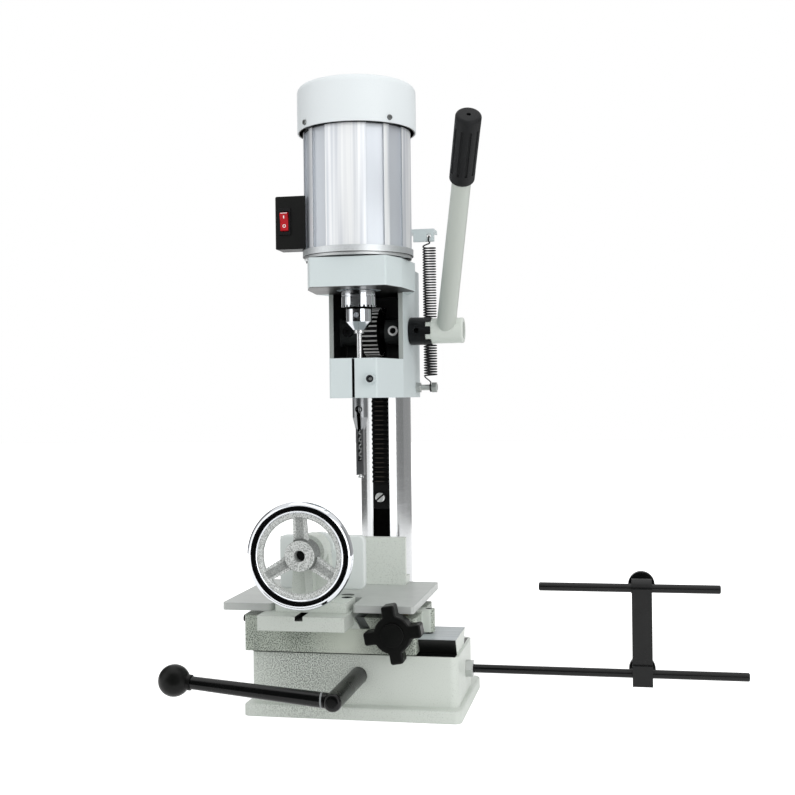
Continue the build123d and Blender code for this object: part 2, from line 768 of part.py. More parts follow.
with BuildPart() as crank_pinion:
    pinion_plane = Plane(origin=(CRANK_X, crank_back, crank_z), x_dir=(0, 0, 1), z_dir=(0, -1, 0))
    with BuildSketch(pinion_plane):
        with BuildLine():
            Polyline(gear_points(CRANK_MODULE, CRANK_TEETH), close=True)
        make_face()
        Circle(CRANK_SHAFT_D / 2 + SEAT_FIT, mode=Mode.SUBTRACT)
    extrude(amount=CRANK_PINION_W)
save(crank_pinion, "crank_pinion")

ball_neck = sqrt((BALL_D / 2) ** 2 - (BALL_NECK_D / 2) ** 2) + BALL_D / 8
with BuildPart() as crank_arm:
    with BuildSketch(arm_plane):
        Circle(CRANK_ARM_D / 2)
    with BuildSketch(arm_plane.offset(CRANK_ARM_L - ball_neck)):
        Circle(CRANK_ARM_END_D / 2)
    loft()
    with BuildSketch(front_plane(crank_back, CRANK_X, crank_z)):
        Circle(CRANK_SHAFT_D / 2 + SEAT_FIT)
    extrude(amount=crank_back - crank_front, mode=Mode.SUBTRACT)
    with BuildSketch(arm_plane):
        Circle(CRANK_STUB_D / 2)
    extrude(amount=CRANK_ARM_L)
save(crank_arm, "crank_arm")

with BuildPart(arm_plane.offset(CRANK_ARM_L)) as crank_ball:
    Sphere(BALL_D / 2)
    Cylinder(BALL_NECK_D / 2, ball_neck, align=(Align.CENTER, Align.CENTER, Align.MAX))
    with BuildSketch(arm_plane):
        Circle(CRANK_STUB_D / 2 + SEAT_FIT)
    extrude(amount=CRANK_ARM_L, mode=Mode.SUBTRACT)
save(crank_ball, "crank_ball")

# Saddle: rides on the base's way and carries the cross slide in a second dovetail
saddle_w = SADDLE_X1 - SADDLE_X0
groove_top = way_top + SLIDE_FIT
fit_flare = flare(SLIDE_FIT)
groove_low = flare(way_top - saddle_bottom)
slide_flare = flare(slide_top - slide_bottom)
table_groove = slide_bottom - SLIDE_FIT
groove_open = flare(slide_top - saddle_top)
rack_top_z = saddle_pitch_z + SADDLE_RACK_H
nut_bottom = slide_top - FEED_NUT_DROP
feed_slot_l = FEED_NUT_L + FEED_TRAVEL + 4 * PASS_GAP
feed_slot_front = FEED_NUT_FRONT - 2 * PASS_GAP
feed_back = feed_slot_front + feed_slot_l + FEED_SCREW_D
with BuildPart() as saddle:
    with BuildSketch(Plane.XY.offset(saddle_bottom)):
        with Locations((SADDLE_X0, SADDLE_FRONT)):
            Rectangle(saddle_w, saddle_back - SADDLE_FRONT, align=(Align.MIN, Align.MIN))
    extrude(amount=saddle_top - saddle_bottom)
    fillet(saddle.edges().filter_by(Axis.Z), SADDLE_R)
    with BuildSketch(Plane.XY.offset(lug_bottom)):
        with Locations((lug_x, LUG_Y)):
            Rectangle(LUG_D, LUG_D, align=(Align.MAX, Align.CENTER))
            Circle(LUG_D / 2)
    extrude(amount=lug_top - lug_bottom)
    with BuildSketch(right_plane(SADDLE_X0)):
        with BuildLine():
            Polyline(
                (way_front + groove_low - SLIDE_FIT, saddle_bottom),
                (way_front - SLIDE_FIT - fit_flare, groove_top),
                (way_back + SADDLE_GIB_W + SLIDE_FIT + fit_flare, groove_top),
                (way_back - groove_low + SADDLE_GIB_W + SLIDE_FIT, saddle_bottom),
                close=True,
            )
        make_face()
    extrude(amount=saddle_w, mode=Mode.SUBTRACT)
    with BuildSketch(front_plane(saddle_back)):
        with BuildLine():
            Polyline(
                (slide_left - slide_flare - SLIDE_FIT - fit_flare, table_groove),
                (slide_left - groove_open - SLIDE_FIT, saddle_top),
                (slide_right + groove_open + TABLE_GIB_W + SLIDE_FIT, saddle_top),
                (slide_right + slide_flare + TABLE_GIB_W + SLIDE_FIT + fit_flare, table_groove),
                close=True,
            )
        make_face()
    extrude(amount=saddle_back - SADDLE_FRONT, mode=Mode.SUBTRACT)
    with BuildSketch(Plane.XY.offset(saddle_bottom)):
        with Locations((SADDLE_RACK_X0, crank_slot_y)):
            Rectangle(SADDLE_RACK_L, CRANK_PINION_W + 2 * PASS_GAP, align=(Align.MIN, Align.CENTER))
    extrude(amount=rack_top_z - saddle_bottom, mode=Mode.SUBTRACT)
    with BuildSketch(Plane.XY.offset(saddle_top)):
        with Locations((FEED_X, feed_slot_front)):
            Rectangle(FEED_NUT_W + 4 * PASS_GAP, feed_slot_l, align=(Align.CENTER, Align.MIN))
    extrude(amount=nut_bottom - 2 * PASS_GAP - saddle_top, mode=Mode.SUBTRACT)
    with BuildSketch(front_plane(feed_back)):
        with Locations((FEED_X, feed_z)):
            Circle(FEED_SCREW_D / 2 + RUN_FIT)
    extrude(amount=feed_back - SADDLE_FRONT, mode=Mode.SUBTRACT)
    with BuildSketch(right_plane(SADDLE_X0)):
        with Locations((LOCK_SCREW_Y, lock_screw_z)):
            Circle(SCREW_D / 2 + SEAT_FIT)
    extrude(amount=slide_left - slide_flare - SADDLE_X0 + SCREW_D, mode=Mode.SUBTRACT)
    with Locations((lug_x, LUG_Y, lug_top)):
        Hole(SCREW_D / 2 + SEAT_FIT, lug_top - lug_bottom)
save(saddle, "saddle")

with BuildPart() as saddle_gib:
    gib_bottom = saddle_bottom + PASS_GAP
    gib_run = flare(way_top - gib_bottom)
    with BuildSketch(right_plane(SADDLE_X0)):
        with BuildLine():
            Polyline(
                (way_back - gib_run + SLIDE_FIT, gib_bottom),
                (way_back + SLIDE_FIT, way_top),
                (way_back + SLIDE_FIT + SADDLE_GIB_W, way_top),
                (way_back - gib_run + SLIDE_FIT + SADDLE_GIB_W, gib_bottom),
                close=True,
            )
        make_face()
    extrude(amount=saddle_w)
save(saddle_gib, "saddle_gib")

with BuildPart() as table_gib:
    gib_top = saddle_top - PASS_GAP
    gib_flare = flare(slide_top - gib_top)
    with BuildSketch(front_plane(saddle_back)):
        with BuildLine():
            Polyline(
                (slide_right + slide_flare + SLIDE_FIT, slide_bottom),
                (slide_right + gib_flare + SLIDE_FIT, gib_top),
                (slide_right + gib_flare + SLIDE_FIT + TABLE_GIB_W, gib_top),
                (slide_right + slide_flare + SLIDE_FIT + TABLE_GIB_W, slide_bottom),
                close=True,
            )
        make_face()
    extrude(amount=saddle_back - SADDLE_FRONT - SADDLE_R)
save(table_gib, "table_gib")

# Rack under the saddle's rear apron: a gap stands over the crank's axis
saddle_pitch = pi * CRANK_MODULE
rack_left = int((CRANK_X - SADDLE_RACK_X0) / saddle_pitch)
saddle_first = CRANK_X - rack_left * saddle_pitch + saddle_pitch / 2
saddle_rack_x1 = SADDLE_RACK_X0 + SADDLE_RACK_L
saddle_teeth = int((saddle_rack_x1 - saddle_first) / saddle_pitch)
saddle_profile = rack_points(CRANK_MODULE, saddle_first, saddle_teeth)
with BuildPart() as saddle_rack:
    rack_root_z = saddle_pitch_z + DEDENDUM * CRANK_MODULE
    with BuildSketch(front_plane(crank_back)):
        with BuildLine():
            Polyline(
                [(SADDLE_RACK_X0, rack_top_z), (SADDLE_RACK_X0, rack_root_z)]
                + [(x, saddle_pitch_z - out) for x, out in saddle_profile]
                + [(saddle_rack_x1, rack_root_z), (saddle_rack_x1, rack_top_z)],
                close=True,
            )
        make_face()
    extrude(amount=CRANK_PINION_W)
save(saddle_rack, "saddle_rack")

# Lock screws: one presses the cross slide, one the base's way
lock_length = slide_left - slide_flare - SLIDE_FIT - SADDLE_X0
with BuildPart() as saddle_screws:
    with Locations(Plane(origin=(SADDLE_X0, LOCK_SCREW_Y, lock_screw_z), z_dir=(-1, 0, 0))):
        set_screw(lock_length)
    with Locations((lug_x, LUG_Y, lug_top - SET_SCREW_OUT)):
        set_screw(lug_top - SET_SCREW_OUT - way_top - PASS_GAP)
save(saddle_screws, "saddle_screws")

# Lengthwise feed: screw in the saddle, nut under the table, star knob in front
with BuildPart() as feed_screw:
    with BuildSketch(front_plane(feed_back)):
        with Locations((FEED_X, feed_z)):
            Circle(FEED_SCREW_D / 2)
    extrude(amount=feed_back - SADDLE_FRONT + KNOB_GAP + KNOB_T / 2)
    with BuildSketch(front_plane(SADDLE_FRONT - SLIDE_FIT)):
        with Locations((FEED_X, feed_z)):
            Circle(FEED_COLLAR_D / 2)
    extrude(amount=FEED_COLLAR_T)
save(feed_screw, "feed_screw")

with BuildPart() as star_knob:
    knob_plane = front_plane(SADDLE_FRONT - KNOB_GAP, FEED_X, feed_z)
    with BuildSketch(knob_plane) as knob_outline:
        Circle(KNOB_BODY_D / 2)
        with PolarLocations(KNOB_D / 4, KNOB_LOBE_COUNT, start_angle=KNOB_TURN):
            Rectangle(KNOB_D / 2, KNOB_LOBE_W)
        fillet(knob_outline.vertices(), KNOB_LOBE_W / 5)
    extrude(amount=KNOB_T)
    fillet(star_knob.faces().sort_by(Axis.Y)[0].edges(), KNOB_T / 10)
    with BuildSketch(knob_plane):
        Circle(FEED_COLLAR_D / 2)
    extrude(amount=FEED_COLLAR_T + SLIDE_FIT - KNOB_GAP)
    with BuildSketch(knob_plane.offset(KNOB_T)):
        Circle(KNOB_CAP_D / 2)
    extrude(amount=KNOB_CAP_T)
    with BuildSketch(knob_plane.offset(KNOB_T / 2)):
        Circle(FEED_SCREW_D / 2 + SEAT_FIT)
    extrude(amount=-KNOB_T / 2 - KNOB_GAP, mode=Mode.SUBTRACT)
save(star_knob, "star_knob")

# Cross slide: dovetail below, slotted nose in front that passes between the saddle's jaws
nose_right = slide_right + groove_open - PASS_GAP
with BuildPart() as cross_slide:
    with BuildSketch(front_plane(SLIDE_BACK)):
        with BuildLine():
            Polyline(
                (slide_left - slide_flare, slide_bottom),
                (slide_left, slide_top),
                (slide_right, slide_top),
                (slide_right + slide_flare, slide_bottom),
                close=True,
            )
        make_face()
    extrude(amount=SLIDE_BACK - SADDLE_FRONT)
    with BuildSketch(front_plane(SADDLE_FRONT)):
        with Locations((slide_left, slide_top)):
            Rectangle(nose_right - slide_left, SLIDE_H - NOSE_RISE, align=(Align.MIN, Align.MAX))
    extrude(amount=SADDLE_FRONT - SLIDE_FRONT)
    with BuildSketch(front_plane(TABLE_FRONT)):
        with Locations((SLIDE_X, slide_top)):
            Rectangle(NOSE_SLOT_W, 2 * NOSE_SLOT_DEPTH)
    extrude(amount=TABLE_FRONT - SLIDE_FRONT, mode=Mode.SUBTRACT)
    with Locations((SLIDE_X, plate_screw_y, slide_top)):
        with GridLocations(SLIDE_W - 4 * SCREW_D, plate_screw_back - plate_screw_front, 2, 2):
            Hole(SCREW_D / 2 + SEAT_FIT, slide_top - slide_bottom - SCREW_D)
    with Locations((CLAMP_X, clamp_screw_y, slide_top)):
        with GridLocations(clamp_screw_step, CLAMP_FOOT_T, 2, 1):
            Hole(SCREW_D / 2 + SEAT_FIT, SCREW_D)
save(cross_slide, "cross_slide")

with BuildPart() as table_plate:
    with BuildSketch(Plane.XY.offset(slide_top)) as plate_outline:
        with Locations((TABLE_X0, TABLE_FRONT)):
            Rectangle(TABLE_X1 - TABLE_X0, SLIDE_BACK - TABLE_FRONT, align=(Align.MIN, Align.MIN))
        with Locations((CLAMP_X, notch_back)):
            Rectangle(
                CLAMP_FOOT_W + 2 * TABLE_NOTCH_GAP,
                notch_back - SLIDE_FRONT,
                align=(Align.CENTER, Align.MAX),
                mode=Mode.SUBTRACT,
            )
        fillet(plate_outline.vertices(), TABLE_R)
    extrude(amount=TABLE_T)
    with Locations((SLIDE_X, plate_screw_y, table_top)):
        with GridLocations(SLIDE_W - 4 * SCREW_D, plate_screw_back - plate_screw_front, 2, 2):
            CounterSinkHole(SCREW_D / 2 + SEAT_FIT, SCREW_D + SEAT_FIT, TABLE_T)
    with Locations((CLAMP_X, fence_screw_y, table_top)):
        with GridLocations(fence_screw_step, FENCE_T, 2, 1):
            Hole(SCREW_D / 2 + SEAT_FIT, TABLE_T)
save(table_plate, "table_plate")

# Countersunk screws that hold the plate on the slide
with BuildPart() as table_screws:
    with Locations((SLIDE_X, plate_screw_y, table_top)):
        with GridLocations(SLIDE_W - 4 * SCREW_D, plate_screw_back - plate_screw_front, 2, 2):
            Cylinder(SCREW_D / 2, TABLE_T + SCREW_D, align=(Align.CENTER, Align.CENTER, Align.MAX))
            Cone(SCREW_D / 2, SCREW_D, SCREW_D / 2, align=(Align.CENTER, Align.CENTER, Align.MAX))
save(table_screws, "table_screws")

with BuildPart() as feed_nut:
    with BuildSketch(Plane.XY.offset(nut_bottom)):
        with Locations((FEED_X, FEED_NUT_FRONT)):
            Rectangle(FEED_NUT_W, FEED_NUT_L, align=(Align.CENTER, Align.MIN))
    extrude(amount=slide_top - nut_bottom)
    with BuildSketch(front_plane(FEED_NUT_FRONT)):
        with Locations((FEED_X, feed_z)):
            Circle(FEED_SCREW_D / 2 + RUN_FIT)
    extrude(amount=-FEED_NUT_L, mode=Mode.SUBTRACT)
save(feed_nut, "feed_nut")

# Rear fence: angle casting with two gussets behind the work
with BuildPart() as rear_fence:
    with BuildSketch(right_plane(CLAMP_X - FENCE_W / 2)):
        with BuildLine():
            Polyline(
                (FENCE_Y, table_top),
                (FENCE_Y, table_top + FENCE_H),
                (FENCE_Y + FENCE_T, table_top + FENCE_H),
                (FENCE_Y + FENCE_T, table_top + FENCE_T),
                (FENCE_Y + FENCE_FOOT, table_top + FENCE_T),
                (FENCE_Y + FENCE_FOOT, table_top),
                close=True,
            )
        make_face()
    extrude(amount=FENCE_W)
    fence_ribs = [CLAMP_X - FENCE_W / 4, CLAMP_X + FENCE_W / 4]
    for rib_x in fence_ribs:
        with BuildSketch(right_plane(rib_x - FENCE_T / 2)):
            with BuildLine():
                Polyline(
                    (FENCE_Y + FENCE_T, table_top + FENCE_T),
                    (FENCE_Y + FENCE_T, table_top + FENCE_H),
                    (FENCE_Y + FENCE_FOOT, table_top + FENCE_T),
                    close=True,
                )
            make_face()
        extrude(amount=FENCE_T)
    fillet(rear_fence.edges().filter_by(Axis.Z).group_by(Axis.Z)[-1], FENCE_T / 3)
    with Locations((CLAMP_X, fence_screw_y, table_top + FENCE_T)):
        with GridLocations(fence_screw_step, FENCE_T, 2, 1):
            Hole(SCREW_D / 2 + SEAT_FIT, FENCE_T)
save(rear_fence, "rear_fence")

# Front clamp: bracket in the table's notch, screw through its boss
web_front = boss_back - CLAMP_WEB_T
with BuildPart() as clamp_bracket:
    with BuildSketch(Plane.XY.offset(slide_top)):
        with Locations((CLAMP_X, clamp_foot_front)):
            Rectangle(CLAMP_FOOT_W, CLAMP_FOOT_L, align=(Align.CENTER, Align.MIN))
    extrude(amount=CLAMP_FOOT_T)
    chamfer(clamp_bracket.edges().filter_by(Axis.Z).group_by(Axis.Y)[-1], SCREW_D)
    with BuildSketch(front_plane(boss_back, CLAMP_X, 0)):
        with Locations((0, clamp_z)):
            Circle(CLAMP_BOSS_D / 2)
        with Locations((0, foot_top)):
            Rectangle(CLAMP_WEB_W, CLAMP_FOOT_T / 2, align=(Align.CENTER, Align.MAX))
        make_hull()
    extrude(amount=CLAMP_WEB_T)
    with BuildSketch(front_plane(boss_back, CLAMP_X, clamp_z)):
        Circle(CLAMP_BOSS_D / 2)
    extrude(amount=CLAMP_BOSS_L)
    with BuildSketch(right_plane(CLAMP_X - CLAMP_RIB_T / 2)):
        with BuildLine():
            Polyline(
                (web_front, foot_top),
                (web_front, clamp_z),
                (clamp_boss_front, clamp_z),
                (clamp_boss_front, clamp_z - CLAMP_BOSS_D / 2),
                (clamp_foot_front, foot_top),
                close=True,
            )
        make_face()
    extrude(amount=CLAMP_RIB_T)
    with BuildSketch(front_plane(boss_back, CLAMP_X, clamp_z)):
        Circle(CLAMP_SCREW_D / 2 + RUN_FIT)
    extrude(amount=CLAMP_BOSS_L, mode=Mode.SUBTRACT)
    with Locations((CLAMP_X, clamp_screw_y, foot_top)):
        with GridLocations(clamp_screw_step, CLAMP_FOOT_T, 2, 1):
            CounterBoreHole(SCREW_D / 2 + SEAT_FIT, SCREW_HEAD_D / 2 + PASS_GAP, SCREW_HEAD_H, CLAMP_FOOT_T)
save(clamp_bracket, "clamp_bracket")

# Socket head screws of the clamp's foot and of the fence
with BuildPart() as table_cap_screws:
    with Locations((CLAMP_X, clamp_screw_y, foot_top - SCREW_HEAD_H)):
        with GridLocations(clamp_screw_step, CLAMP_FOOT_T, 2, 1):
            socket_screw(CLAMP_FOOT_T)
    with Locations((CLAMP_X, fence_screw_y, table_top + FENCE_T)):
        with GridLocations(fence_screw_step, FENCE_T, 2, 1):
            socket_screw(FENCE_T + TABLE_T)
save(table_cap_screws, "table_cap_screws")

# Jaw plate with the socket that the clamp screw turns in
jaw_boss_front = jaw_face - JAW_T - JAW_BOSS_L
pivot_end = jaw_face - JAW_T / 2
with BuildPart() as clamp_jaw:
    with BuildSketch(front_plane(jaw_face)):
        with Locations((CLAMP_X, jaw_bottom + JAW_H / 2)):
            RectangleRounded(JAW_W, JAW_H, JAW_R)
    extrude(amount=JAW_T)
    fillet(clamp_jaw.faces().sort_by(Axis.Y)[0].edges(), JAW_T / 5)
    with BuildSketch(front_plane(jaw_face - JAW_T, CLAMP_X, clamp_z)):
        Circle(JAW_BOSS_D / 2)
    extrude(amount=JAW_BOSS_L)
    with BuildSketch(front_plane(pivot_end, CLAMP_X, clamp_z)):
        Circle(CLAMP_PIVOT_D / 2 + RUN_FIT)
    extrude(amount=pivot_end - jaw_boss_front, mode=Mode.SUBTRACT)
save(clamp_jaw, "clamp_jaw")

screw_tip = jaw_boss_front - SLIDE_FIT
screw_front = hub_front + HUB_L / 2
with BuildPart() as clamp_screw:
    with BuildSketch(front_plane(screw_tip, CLAMP_X, clamp_z)):
        Circle(CLAMP_SCREW_D / 2)
    extrude(amount=screw_tip - hub_front - HUB_L)
    with BuildSketch(front_plane(pivot_end - SLIDE_FIT, CLAMP_X, clamp_z)):
        Circle(CLAMP_PIVOT_D / 2)
    extrude(amount=pivot_end - screw_tip)
    with BuildSketch(front_plane(hub_front + HUB_L, CLAMP_X, clamp_z)):
        Circle(HUB_HOLE_D / 2)
    extrude(amount=hub_front + HUB_L - screw_front)
save(clamp_screw, "clamp_screw")

# Handwheel: round rim, three tapered spokes, bored hub
rim_r = (WHEEL_D - WHEEL_RIM) / 2
with BuildPart() as handwheel:
    with Locations(front_plane(wheel_y, CLAMP_X, clamp_z)):
        Torus(rim_r, WHEEL_RIM / 2)
    with BuildSketch(front_plane(hub_front + HUB_L, CLAMP_X, clamp_z)):
        Circle(HUB_D / 2)
    extrude(amount=HUB_L)
    with BuildSketch(front_plane(wheel_y + SPOKE_T, CLAMP_X, clamp_z)):
        with PolarLocations(HUB_D / 4, SPOKE_COUNT, start_angle=90):
            Trapezoid(SPOKE_W, rim_r - HUB_D / 4, SPOKE_FLANK, align=(Align.CENTER, Align.MIN), rotation=-90)
    extrude(amount=SPOKE_T)
    with BuildSketch(front_plane(hub_front + HUB_L, CLAMP_X, clamp_z)):
        Circle(HUB_HOLE_D / 2 + SEAT_FIT)
    extrude(amount=HUB_L, mode=Mode.SUBTRACT)
save(handwheel, "handwheel")

# Head casting: split nose for the chisel, open window, motor block, boss round the column
window_back = column_front - WINDOW_REAR_WALL
bore_top = head_top - HEAD_BOTTOM
keyway_front = rack_pitch_y - HEAD_MODULE - PASS_GAP
boss_inner = HEAD_HALF - HEAD_WALL - BEARING_BOSS_L
pinion_tip_r = pinion_r + HEAD_MODULE
with BuildPart() as head_casting:
    with BuildSketch(Plane.XY.offset(HEAD_BOTTOM)):
        with BuildLine():
            Polyline(
                (-NOSE_HALF, NOSE_FRONT),
                (NOSE_HALF, NOSE_FRONT),
                (HEAD_HALF, WINDOW_FRONT),
                (HEAD_HALF, COLUMN_Y),
                (-HEAD_HALF, COLUMN_Y),
                (-HEAD_HALF, WINDOW_FRONT),
                close=True,
            )
        make_face()
        with Locations((0, COLUMN_Y)):
            Circle(HEAD_HALF)
    extrude(amount=window_bottom - HEAD_BOTTOM)
    with BuildSketch(Plane.XY.offset(window_bottom)):
        with Locations((0, WINDOW_FRONT)):
            Rectangle(2 * HEAD_HALF, COLUMN_Y - WINDOW_FRONT, align=(Align.CENTER, Align.MIN))
        with Locations((0, COLUMN_Y)):
            Circle(HEAD_HALF)
        with Locations((0, window_back)):
            Rectangle(
                2 * (HEAD_HALF - HEAD_WALL),
                COLUMN_Y,
                align=(Align.CENTER, Align.MAX),
                mode=Mode.SUBTRACT,
            )
    extrude(amount=window_top - window_bottom)
    with BuildSketch(Plane.XY.offset(window_top)):
        with BuildLine():
            Polyline(
                (-BLOCK_FRONT_HALF, BLOCK_FRONT),
                (BLOCK_FRONT_HALF, BLOCK_FRONT),
                (BLOCK_CORNER_HALF, BLOCK_CORNER_Y),
                (BLOCK_SIDE_HALF, WINDOW_FRONT),
                (HEAD_HALF, BLOCK_BACK_Y),
                (HEAD_HALF, COLUMN_Y),
                (-HEAD_HALF, COLUMN_Y),
                (-HEAD_HALF, BLOCK_BACK_Y),
                (-BLOCK_SIDE_HALF, WINDOW_FRONT),
                (-BLOCK_CORNER_HALF, BLOCK_CORNER_Y),
                close=True,
            )
        make_face()
        with Locations((0, COLUMN_Y)):
            Circle(HEAD_HALF)
    extrude(amount=head_top - window_top)
    fillet(head_casting.edges().filter_by(Axis.Z).filter_by_position(Axis.Y, BLOCK_FRONT, 0), HEAD_EDGE_R)
    for side in (-1, 1):
        with BuildSketch(right_plane(side * (HEAD_HALF - HEAD_WALL), pinion_y, pinion_z)):
            Circle(BEARING_BOSS_D / 2)
        extrude(amount=-side * BEARING_BOSS_L)
    with BuildSketch(right_plane(-HEAD_HALF, pinion_y, pinion_z)):
        Circle(BUSH_D / 2 + SEAT_FIT)
    extrude(amount=2 * HEAD_HALF, mode=Mode.SUBTRACT)
    with BuildSketch(Plane.XY.offset(HEAD_BOTTOM)):
        with Locations((0, COLUMN_Y)):
            Circle(COLUMN_D / 2 + RUN_FIT)
        with Locations((0, keyway_front)):
            Rectangle(RACK_W + 2 * PASS_GAP, COLUMN_D / 2, align=(Align.CENTER, Align.MIN))
    extrude(amount=bore_top, mode=Mode.SUBTRACT)
    with BuildSketch(front_plane(COLUMN_Y, 0, pinion_z)):
        Rectangle(RACK_W + 2 * PASS_GAP, 2 * pinion_tip_r + 4 * PASS_GAP)
    extrude(amount=COLUMN_Y - window_back, mode=Mode.SUBTRACT)
    with BuildSketch(Plane.XY.offset(window_top)):
        Circle(SPINDLE_HOLE_D / 2)
    extrude(amount=head_top - window_top, mode=Mode.SUBTRACT)
    with BuildSketch(Plane.XY.offset(HEAD_BOTTOM)):
        Circle(CHISEL_SHANK_D / 2 + SEAT_FIT)
        Rectangle(SLIT_W, -2 * NOSE_FRONT, align=(Align.CENTER, Align.MAX))
    extrude(amount=window_bottom - HEAD_BOTTOM, mode=Mode.SUBTRACT)
    with BuildSketch(front_plane(pinion_y, 0, pinion_z)):
        with Locations((-BUSH_SCREW_X, 0), (BUSH_SCREW_X, 0)):
            Circle(SCREW_D / 2 + SEAT_FIT)
    extrude(amount=BEARING_BOSS_D / 2, mode=Mode.SUBTRACT)
    with BuildSketch(front_plane(NOSE_FRONT, NOSE_SCREW_X, nose_screw_z)):
        Circle(SCREW_D / 2 + SEAT_FIT)
    extrude(amount=-NOSE_SCREW_X, mode=Mode.SUBTRACT)
    with Locations((-EAR_X, 0, head_top), (EAR_X, 0, head_top)):
        Hole(SCREW_D / 2 + SEAT_FIT, 2 * SCREW_D)
    with BuildSketch(right_plane(HEAD_HALF, SPRING_Y, anchor_z)):
        Circle(ANCHOR_D / 2 + SEAT_FIT)
    extrude(amount=-ANCHOR_SEAT, mode=Mode.SUBTRACT)
save(head_casting, "head_casting")

with BuildPart() as pinion_bushes:
    for side in (-1, 1):
        with BuildSketch(right_plane(side * boss_inner, pinion_y, pinion_z)):
            Circle(BUSH_D / 2)
            Circle(SHAFT_D / 2 + RUN_FIT, mode=Mode.SUBTRACT)
        extrude(amount=side * (HEAD_HALF - boss_inner))
save(pinion_bushes, "pinion_bushes")

# Screws of the bushes, the split nose and the motor's ears
with BuildPart() as head_screws:
    with Locations(
        front_plane(pinion_y - BEARING_BOSS_D / 2, -BUSH_SCREW_X, pinion_z),
        front_plane(pinion_y - BEARING_BOSS_D / 2, BUSH_SCREW_X, pinion_z),
    ):
        socket_screw((BEARING_BOSS_D - BUSH_D) / 2)
    with Locations(front_plane(NOSE_FRONT, NOSE_SCREW_X, nose_screw_z)):
        socket_screw(NOSE_SCREW_X)
    with Locations((-EAR_X, 0, motor_bottom), (EAR_X, 0, motor_bottom)):
        socket_screw(FLANGE_H + 2 * SCREW_D)
save(head_screws, "head_screws")

# Anchor bolt of the spring, in the head's right side: nut, bare bolt for the hook, nut
anchor_nut_x = spring_x + ANCHOR_BARE
anchor_end = anchor_nut_x + ANCHOR_NUT_T + ANCHOR_END
with BuildPart() as spring_anchor:
    with BuildSketch(right_plane(HEAD_HALF - ANCHOR_SEAT, SPRING_Y, anchor_z)):
        Circle(ANCHOR_D / 2)
    extrude(amount=anchor_end - HEAD_HALF + ANCHOR_SEAT)
    for nut_x in (HEAD_HALF, anchor_nut_x):
        with BuildSketch(right_plane(nut_x, SPRING_Y, anchor_z)):
            RegularPolygon(ANCHOR_NUT_D / 2, 6, major_radius=False)
        extrude(amount=ANCHOR_NUT_T)
save(spring_anchor, "spring_anchor")

# Hollow chisel: round shank, tapered neck, square tube with a chip slot and four points
with BuildPart() as chisel:
    with BuildSketch(Plane.XY.offset(chisel_shoulder)):
        Circle(CHISEL_SHANK_D / 2)
    extrude(amount=chisel_top - chisel_shoulder)
    with BuildSketch(Plane.XY.offset(chisel_neck)):
        Circle(CHISEL_NECK_D / 2)
    with BuildSketch(Plane.XY.offset(chisel_shoulder)):
        Circle(CHISEL_SHANK_D / 2)
    loft()
    with BuildSketch(Plane.XY.offset(chisel_tip)):
        Rectangle(CHISEL_SIDE, CHISEL_SIDE)
    extrude(amount=chisel_shoulder - chisel_tip)
    with BuildSketch(Plane.XY.offset(chisel_tip)):
        Circle(CHISEL_BORE_D / 2)
    extrude(amount=chisel_top - chisel_tip, mode=Mode.SUBTRACT)
    with BuildSketch(Plane.XY.offset(chisel_tip)):
        Circle(CHISEL_POINT_D / 2)
    with BuildSketch(Plane.XY.offset(chisel_tip + CHISEL_POINT_H)):
        Circle(CHISEL_BORE_D / 2)
    loft(mode=Mode.SUBTRACT)
    with BuildSketch(front_plane(0, 0, chisel_neck)):
        SlotOverall(CHISEL_SLOT_L, CHISEL_SLOT_W, rotation=90, align=(Align.MAX, Align.CENTER))
    extrude(amount=CHISEL_SIDE, mode=Mode.SUBTRACT)
    with BuildSketch(front_plane(0, 0, HEAD_BOTTOM - CHISEL_EYE_DROP)):
        Circle(CHISEL_EYE_D / 2)
    extrude(amount=CHISEL_SHANK_D, mode=Mode.SUBTRACT)
save(chisel, "chisel")

# Head pinion, its shaft and the clutch collar
shaft_left = -HEAD_HALF - PASS_GAP
end_screw_x = hub_end - PULL - END_SCREW_HEAD_T
with BuildPart() as pinion_shaft:
    with BuildSketch(right_plane(shaft_left, pinion_y, pinion_z)):
        Circle(SHAFT_D / 2)
    extrude(amount=end_screw_x - shaft_left)
    with BuildSketch(right_plane(end_screw_x, pinion_y, pinion_z)):
        Circle(SCREW_D / 2 + SEAT_FIT)
    extrude(amount=-2 * SCREW_D, mode=Mode.SUBTRACT)
save(pinion_shaft, "pinion_shaft")

with BuildPart() as drive_pinion:
    with BuildSketch(right_plane(-HEAD_PINION_W / 2, pinion_y, pinion_z)):
        with BuildLine():
            Polyline(gear_points(HEAD_MODULE, HEAD_PINION_TEETH), close=True)
        make_face()
        Circle(SHAFT_D / 2 + SEAT_FIT, mode=Mode.SUBTRACT)
    extrude(amount=HEAD_PINION_W)
save(drive_pinion, "drive_pinion")

